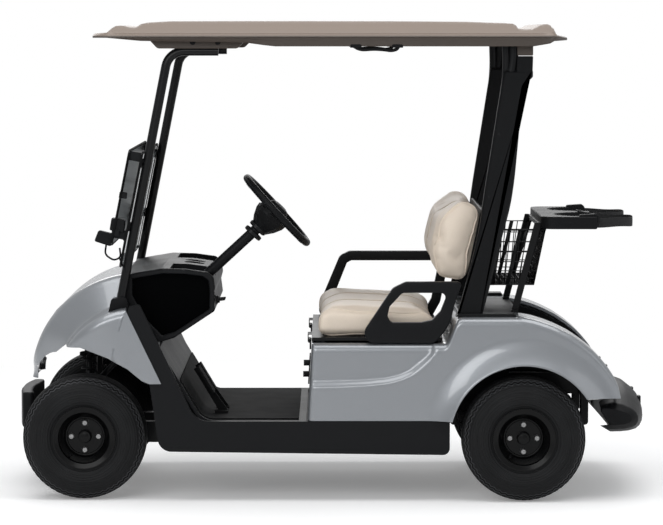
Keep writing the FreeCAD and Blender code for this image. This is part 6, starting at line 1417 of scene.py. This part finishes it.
class CART_OT_cradle(bpy.types.Operator):
    """Makes the bag cradle with its two bays, and the straps with their buckles."""

    bl_idname = "cart.cradle"
    bl_label = "Bag cradle"

    front, rear, half = 0.79, 1.0, 0.365
    low, high = 1.003, 1.05
    radius, middle = 0.15, 0.185
    # A strap across: heights and distances out from the bay's wall
    strap = ((1.0085, 0.0), (1.0255, 0.0004), (1.0435, 0.0), (1.0435, 0.0026), (1.0255, 0.003),
             (1.0085, 0.0026))
    strap_in, sway = 0.004, 0.0018
    # Outlines as distances behind the cradle's rear edge and heights
    buckle = ((-0.066, 1.012), (0.004, 1.008), (0.008, 1.05), (-0.004, 1.061), (-0.066, 1.057))
    clip = ((-0.05, 1.02), (0.004, 1.018), (0.004, 1.046), (-0.05, 1.056))
    rib = ((-0.054, 1.02), (-0.049, 1.02), (-0.049, 1.05), (-0.054, 1.05))
    rib_count, rib_pitch = 5, 0.011

    def execute(self, context):
        line = [(self.front, -self.half), (self.rear, -self.half)]
        for centre in (-self.middle, self.middle):
            for k in range(25):
                turn = -math.pi / 2 - math.pi * k / 24
                x, y = self.radius * math.cos(turn), self.radius * math.sin(turn)
                line.append((self.rear + x, centre + y))
        line += [(self.rear, self.half), (self.front, self.half)]
        radii = [0.06, 0.006] + [0] * 50 + [0.006, 0.06]
        shell = slab(line, radii, self.low, self.high, 0.003, "plan", 6)
        made = add("cradle_shell", [shell], "black_plastic")
        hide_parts("bag_cradle")
        bands = [self.band(centre) for centre in (-self.middle, self.middle)]
        made = add("bag_bands", bands, "webbing", 40.0)
        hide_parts("bag_straps")
        add("buckles", self.buckles(), "black_plastic")
        return {"FINISHED"}

    def band(self, centre):
        """A strap round the back of a bay, a little slack."""
        rows = []
        for k in range(41):
            turn = -math.pi / 2 + math.pi * k / 40
            sway = self.sway * math.sin(5 * turn)
            out = Vector((math.cos(turn), math.sin(turn), 0.0))
            here = Vector((self.rear, centre, 0.0)) + out * (self.radius - self.strap_in)
            rows.append([here + Vector((0.0, 0.0, z + sway)) + out * d for z, d in self.strap])
        return loft(rows)

    def buckles(self):
        """Ratchet buckles where the straps leave the cradle's outer ends, and clips at the inner ends."""
        parts = []
        for side in (-1.0, 1.0):
            y = side * (self.middle + self.radius + 0.004)
            parts.append(self.plate(self.buckle, 0.0, 0.006, y, 0.013, 0.003))
            for n in range(self.rib_count):
                parts.append(self.plate(self.rib, n * self.rib_pitch, 0.002, y, 0.0145, 0.001))
            parts.append(self.plate(self.clip, 0.0, 0.005, side * (self.middle - self.radius), 0.008, 0.002))
        return parts

    def plate(self, shape, shift, radius, y, half, edge):
        """A plate about a place across the cart."""
        return slab(moved(shape, self.rear + shift, 0.0), radius, y - half, y + half, edge)


# Windscreen, dash and steering


class CART_OT_windscreen(bpy.types.Operator):
    """Adds the windscreen's rubber edges, its latches, its handles, their wires and its hooks."""

    bl_idname = "cart.windscreen"
    bl_label = "Windscreen"

    inset = 0.002
    latch = [(-0.826, 1.008), (-0.772, 0.998), (-0.766, 1.046), (-0.818, 1.054)]
    grip = [(-0.884, 0.966), (-0.822, 0.946), (-0.806, 0.992), (-0.868, 1.007)]
    loop = [(-0.84, 0.47, 0.953), (-0.846, 0.47, 0.915), (-0.812, 0.47, 0.893), (-0.786, 0.47, 0.905),
            (-0.79, 0.47, 0.94)]
    tail = [(-0.79, 0.496, 0.905), (-0.775, 0.496, 0.872), (-0.765, 0.494, 0.845)]
    # Heights of the hooks over the foot of the frame they hold, which leans back
    frame_foot, frame_height, frame_place, frame_lean = 0.93, 0.32, -0.772, 0.208
    hook_shares = (0.18, 0.62)
    hook = ((-0.06, 0.0), (-0.03, -0.004), (-0.028, 0.02), (-0.056, 0.024))

    def execute(self, context):
        edges = [self.edge(node) for node in ("windscreen_lower", "windscreen_upper")]
        add("windscreen_edges", edges, "rubber", None)
        parts = [slab(self.latch, 0.006, 0.452, 0.502, 0.003), slab(self.grip, 0.008, 0.45, 0.488, 0.004)]
        parts.append(wires([smooth_path(self.loop, 0.02), smooth_path(self.tail, 0.01)], 0.0035, 8))
        for share in self.hook_shares:
            z = self.frame_foot + share * self.frame_height
            x = self.frame_place + (z - self.frame_foot) * self.frame_lean
            parts.append(slab(moved(self.hook, x, z), 0.004, 0.486, 0.506))
        add("windscreen_fittings", parts, "black_plastic", 32.0, pair=True)
        return {"FINISHED"}

    def edge(self, node):
        """The rubber round a sheet, from the middle of its left side."""
        low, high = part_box(node)
        side = Vector((0.0, high.y - 0.001, 0.0))
        foot = Vector((low.x + self.inset, 0.0, low.z + 0.001))
        head = Vector((high.x - self.inset, 0.0, high.z - 0.001))
        start = (head - side + foot - side) / 2
        ring = [start, foot - side, foot + side, head + side, head - side, start]
        return wires([smooth_path(ring, 0.02, 4)], 0.0048, 8)


class CART_OT_dash(bpy.types.Operator):
    """Adds the bezel round the dash's open end, a dark plate of painted shade in the opening behind it, and
    the key switch.
    """

    bl_idname = "cart.dash"
    bl_label = "Dash"

    outer_share, inner_share = 0.985, 0.84
    # The bezel across: shares of the way from its outer to its inner line, and heights over the dash's end
    bezel = ((0.0, 0.0), (0.0, 0.006), (0.15, 0.009), (0.8, 0.009), (1.0, 0.004), (1.0, 0.0))
    switch, switch_axis = (-0.438, -0.33, 0.735), (1.0, 0.0, 0.18)
    ring = ((0.0, 0.0), (0.019, 0.0), (0.019, 0.004), (0.0145, 0.007), (0.0145, 0.013), (0.012, 0.0145),
            (0.0, 0.0145))
    key = [(-0.426, 0.729), (-0.402, 0.732), (-0.398, 0.746), (-0.424, 0.744)]
    key_half = 0.0015

    def execute(self, context):
        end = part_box("dash")[0].y
        flat = [Vector((v.co.x, v.co.z)) for v in NODES["dash"].data.vertices if v.co.y < end + 0.002]
        hull = [flat[k] for k in geometry.convex_hull_2d(flat)]
        middle = sum(hull, Vector((0.0, 0.0))) / len(hull)
        outer = [middle + (p - middle) * self.outer_share for p in hull]
        inner = [middle + (p - middle) * self.inner_share for p in hull]
        rows = []
        for share, height in self.bezel:
            rows.append([Vector((p.x, end - height, p.y)) for p in between_lines(outer, inner, share)])
        add("dash_bezel", [grid(rows, wrap_cols=True)], "dash_plastic", 25.0)
        # Painted shade: a near-black plate across the dash's opening, where the inside would be dark.
        painted_shade_plate = slab(between_lines(outer, inner, 0.97), 0, end - 0.0012, end + 0.0006, 0.0003)
        made = add("dash_painted_shade_plate", [painted_shade_plate], "painted_shade_plate", None)
        ring = turned(self.ring, 28, self.switch, self.switch_axis)
        y = self.switch[1]
        key = slab(self.key, 0.004, y - self.key_half, y + self.key_half, 0.001)
        add("key_switch", [ring, key], "steel_dark")
        return {"FINISHED"}


def between_lines(first, second, share):
    """An outline between two others of as many points."""
    return [a + (b - a) * share for a, b in zip(first, second)]


class CART_OT_steering(bpy.types.Operator):
    """Adds the console under the steering wheel, its hub cover and the column's collars."""

    bl_idname = "cart.steering"
    bl_label = "Steering"

    # Profiles of radius and place along the column
    console = ((0.0, -0.096), (0.027, -0.096), (0.03, -0.09), (0.052, -0.06), (0.066, -0.03), (0.068, -0.012),
               (0.052, -0.002), (0.03, 0.004), (0.0, 0.004))
    pad = ((0.0, 0.03), (0.02, 0.029), (0.036, 0.024), (0.043, 0.014), (0.044, 0.0), (0.0, 0.0))
    collar = ((0.034, -0.008), (0.0375, -0.006), (0.0375, 0.006), (0.034, 0.008))
    hub_drop, pad_rise, column_inset = 0.012, 0.008, 0.02
    collar_places = (0.545, 0.572)

    def execute(self, context):
        low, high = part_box("steering_wheel")
        centre = (low + high) / 2
        foot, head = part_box("steering_column")
        axis = Vector((head.x - foot.x, 0.0, head.z - foot.z)).normalized()
        hub = centre - axis * self.hub_drop
        console = turned(self.console, 8, hub, axis)
        pad = turned(self.pad, 40, hub + axis * self.pad_rise, axis)
        add("wheel_console", [console, pad], "black_plastic", 24.0, "steering_wheel")
        start = Vector((foot.x + self.column_inset, centre.y, foot.z + self.column_inset))
        collars = [turned(self.collar, 32, start + axis * place, axis) for place in self.collar_places]
        add("column_collars", collars, "steel_dark")
        return {"FINISHED"}


# Cowl, round edges and basket


# The arch's edge from the side as shares of the cowl's length and height, then the cut's lower corners
ARCH_SHARES = [
    (0.050, 0.105), (0.075, 0.175), (0.115, 0.235), (0.165, 0.275), (0.225, 0.290), (0.300, 0.275),
    (0.40, 0.225), (0.52, 0.120), (0.60, 0.020), (0.63, -0.2), (0.040, -0.2),
]


class CART_OT_front_cowl(bpy.types.Operator):
    """Makes the front cowl with clean wheel arches, cut from the CAD piece's shell."""

    bl_idname = "cart.front_cowl"
    bl_label = "Front cowl"

    def execute(self, context):
        low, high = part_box("front_cowl")
        made = add("cowl_shell", [NODES["front_cowl"].data], "body_silver")
        edge = between(ARCH_SHARES, low.x, high.x, low.z, high.z)
        reach = high.y * 1.2
        cutter = bpy.data.objects.new("cutter", slab(edge, 0.012, -reach, reach, 0.0))
        context.scene.collection.objects.link(cutter)
        cut = made.modifiers.new("arch", "BOOLEAN")
        cut.operation = "DIFFERENCE"
        cut.solver = "EXACT"
        cut.object = cutter
        apply_modifier(made, cut)
        bpy.data.objects.remove(cutter)
        made.data.materials.clear()
        made.data.materials.append(MATERIALS["body_silver"])
        made.data.set_sharp_from_angle(angle=math.radians(28.0))
        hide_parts("front_cowl")
        return {"FINISHED"}


# CAD pieces with moulded edges: node, radius and material
SOFT_EDGES = [
    ("armrest_left", 0.009, "armrest_plastic"), ("armrest_right", 0.009, "armrest_plastic"),
    ("front_bumper", 0.008, "black_plastic"), ("strut_foot_covers", 0.005, "black_plastic"),
]


class CART_OT_soft_edges(bpy.types.Operator):
    """Makes the armrests, the front bumper and the strut covers with the round edges of moulded pieces."""

    bl_idname = "cart.soft_edges"
    bl_label = "Round edges"

    def execute(self, context):
        for node, radius, slot in SOFT_EDGES:
            made = add(node + "_round", [rounded_copy(node, radius)], slot, 50.0)
            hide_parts(node)
        return {"FINISHED"}


def rounded_copy(node, radius):
    """A CAD piece's mesh with its sharp edges turned to a radius."""
    work = bmesh.new()
    work.from_mesh(NODES[node].data)
    bmesh.ops.remove_doubles(work, verts=work.verts[:], dist=0.00005)
    bmesh.ops.dissolve_limit(work, angle_limit=math.radians(4.0), verts=work.verts[:], edges=work.edges[:])
    edges = [e for e in work.edges if e.is_manifold and e.calc_face_angle(0.0) > math.radians(35.0)]
    bmesh.ops.bevel(
        work, geom=edges, offset=radius, segments=3, profile=0.5, affect="EDGES", clamp_overlap=True
    )
    bmesh.ops.triangulate(work, faces=[f for f in work.faces if len(f.verts) > 4])
    mesh = bpy.data.meshes.new(node + "_round")
    work.to_mesh(mesh)
    work.free()
    return mesh


class CART_OT_basket(bpy.types.Operator):
    """Makes the basket's walls of slanted bars and crossing wires."""

    bl_idname = "cart.basket"
    bl_label = "Basket"

    height_shares = (0.03, 0.14, 0.27, 0.43, 0.60, 0.78, 0.985)
    side_wires, end_wires = 9, 24
    rim_radius = 0.0038
    wall_inset, rear_lean = 0.006, 0.045
    # Flat bars up the sides: places of their middles, how they slant, their width and depths from the wire
    bar_shares, bar_foot, bar_head = (0.12, 0.46, 0.80), -0.10, 0.06
    bar_width, bar_far, bar_near = 0.015, 0.0075, 0.0035

    def execute(self, context):
        self.low, self.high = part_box("basket")
        y = self.high.y - 0.004
        heights = [self.low.z + share * (self.high.z - self.low.z) for share in self.height_shares]
        foot, head = heights[0], heights[-1]
        across = [-y + 2 * y * k / self.end_wires for k in range(self.end_wires + 1)]
        shares = [k / self.side_wires for k in range(self.side_wires + 1)]
        lines = []
        for side in (-y, y):
            lines += [[self.place(end, z, side) for end in (0.0, 1.0)] for z in heights]
            lines += [[self.place(share, z, side) for z in (foot, head)] for share in shares]
        for end in (0.0, 1.0):
            lines += [[self.place(end, z, side) for side in (-y, y)] for z in heights]
            lines += [[self.place(end, z, place) for z in (foot, head)] for place in across]
        lines += [[self.place(end, foot, place) for end in (0.0, 1.0)] for place in across[1:-1]]
        lines += [[self.place(share, foot, side) for side in (-y, y)] for share in shares[1:-1]]
        corners = ((0.0, -y), (1.0, -y), (1.0, y), (0.0, y), (0.0, -y))
        rim = [self.place(end, head, side) for end, side in corners]
        parts = [wires(lines, context.scene.cart_trim.wire / 2, 6), wires([rim], self.rim_radius, 8)]
        made = add("basket_wires", parts + self.flats(y), "black_paint", None)
        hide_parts("basket")
        return {"FINISHED"}

    def flats(self, y):
        """Three flat bars up each side."""
        bars = []
        for side in (-1, 1):
            for share in self.bar_shares:
                foot = self.place(share + self.bar_foot, self.low.z + 0.004, 0.0)
                head = self.place(share + self.bar_head, self.high.z - 0.004, 0.0)
                outline = [(foot.x, foot.z), (foot.x + self.bar_width, foot.z)]
                outline += [(head.x + self.bar_width, head.z), (head.x, head.z)]
                near, far = sorted((side * (y - self.bar_far), side * (y - self.bar_near)))
                bars.append(slab(outline, 0, near, far, 0.0008))
        return bars

    def place(self, share, z, y):
        """A point of the basket's wall, its rear side leaning in towards the floor."""
        fall = (self.high.z - z) / (self.high.z - self.low.z)
        front = self.low.x + self.wall_inset
        rear = self.high.x - self.wall_inset - self.rear_lean * fall
        return Vector((front + share * (rear - front), y, z))


# Panel and registration


class CART_PT_panel(bpy.types.Panel):
    """Lists the steps that dress the cart."""

    bl_label = "Golf cart"
    bl_idname = "CART_PT_panel"
    bl_space_type = "VIEW_3D"
    bl_region_type = "UI"
    bl_category = "Cart"

    def draw(self, context):
        scene = context.scene
        for group in GROUPS:
            settings = getattr(scene, group)
            box = self.layout.box()
            for prop in settings.bl_rna.properties:
                if prop.identifier not in ("rna_type", "name"):
                    box.prop(settings, prop.identifier)
        for operator in OPERATORS:
            self.layout.operator(operator.bl_idname)


GROUPS = {
    "cart_paint": CartPaint,
    "cart_stage": CartStage,
    "cart_tyres": CartTyres,
    "cart_cushions": CartCushions,
    "cart_trim": CartTrim,
}
OPERATORS = (
    CART_OT_stage,
    CART_OT_finish,
    CART_OT_tyres,
    CART_OT_rims,
    CART_OT_seat,
    CART_OT_backrest,
    CART_OT_roof,
    CART_OT_roof_fittings,
    CART_OT_struts,
    CART_OT_rear_body,
    CART_OT_rear_bumper,
    CART_OT_cradle,
    CART_OT_windscreen,
    CART_OT_dash,
    CART_OT_steering,
    CART_OT_front_cowl,
    CART_OT_soft_edges,
    CART_OT_basket,
)
CLASSES = tuple(GROUPS.values()) + OPERATORS + (CART_PT_panel,)


def register():
    for cls in CLASSES:
        bpy.utils.register_class(cls)
    for name, group in GROUPS.items():
        setattr(bpy.types.Scene, name, bpy.props.PointerProperty(type=group))


def unregister():
    for name in GROUPS:
        delattr(bpy.types.Scene, name)
    for cls in reversed(CLASSES):
        bpy.utils.unregister_class(cls)


def main():
    """Runs every step in order."""
    register()
    for operator in OPERATORS:
        area, step = operator.bl_idname.split(".")
        getattr(getattr(bpy.ops, area), step)()


if __name__ == "__main__":
    main()
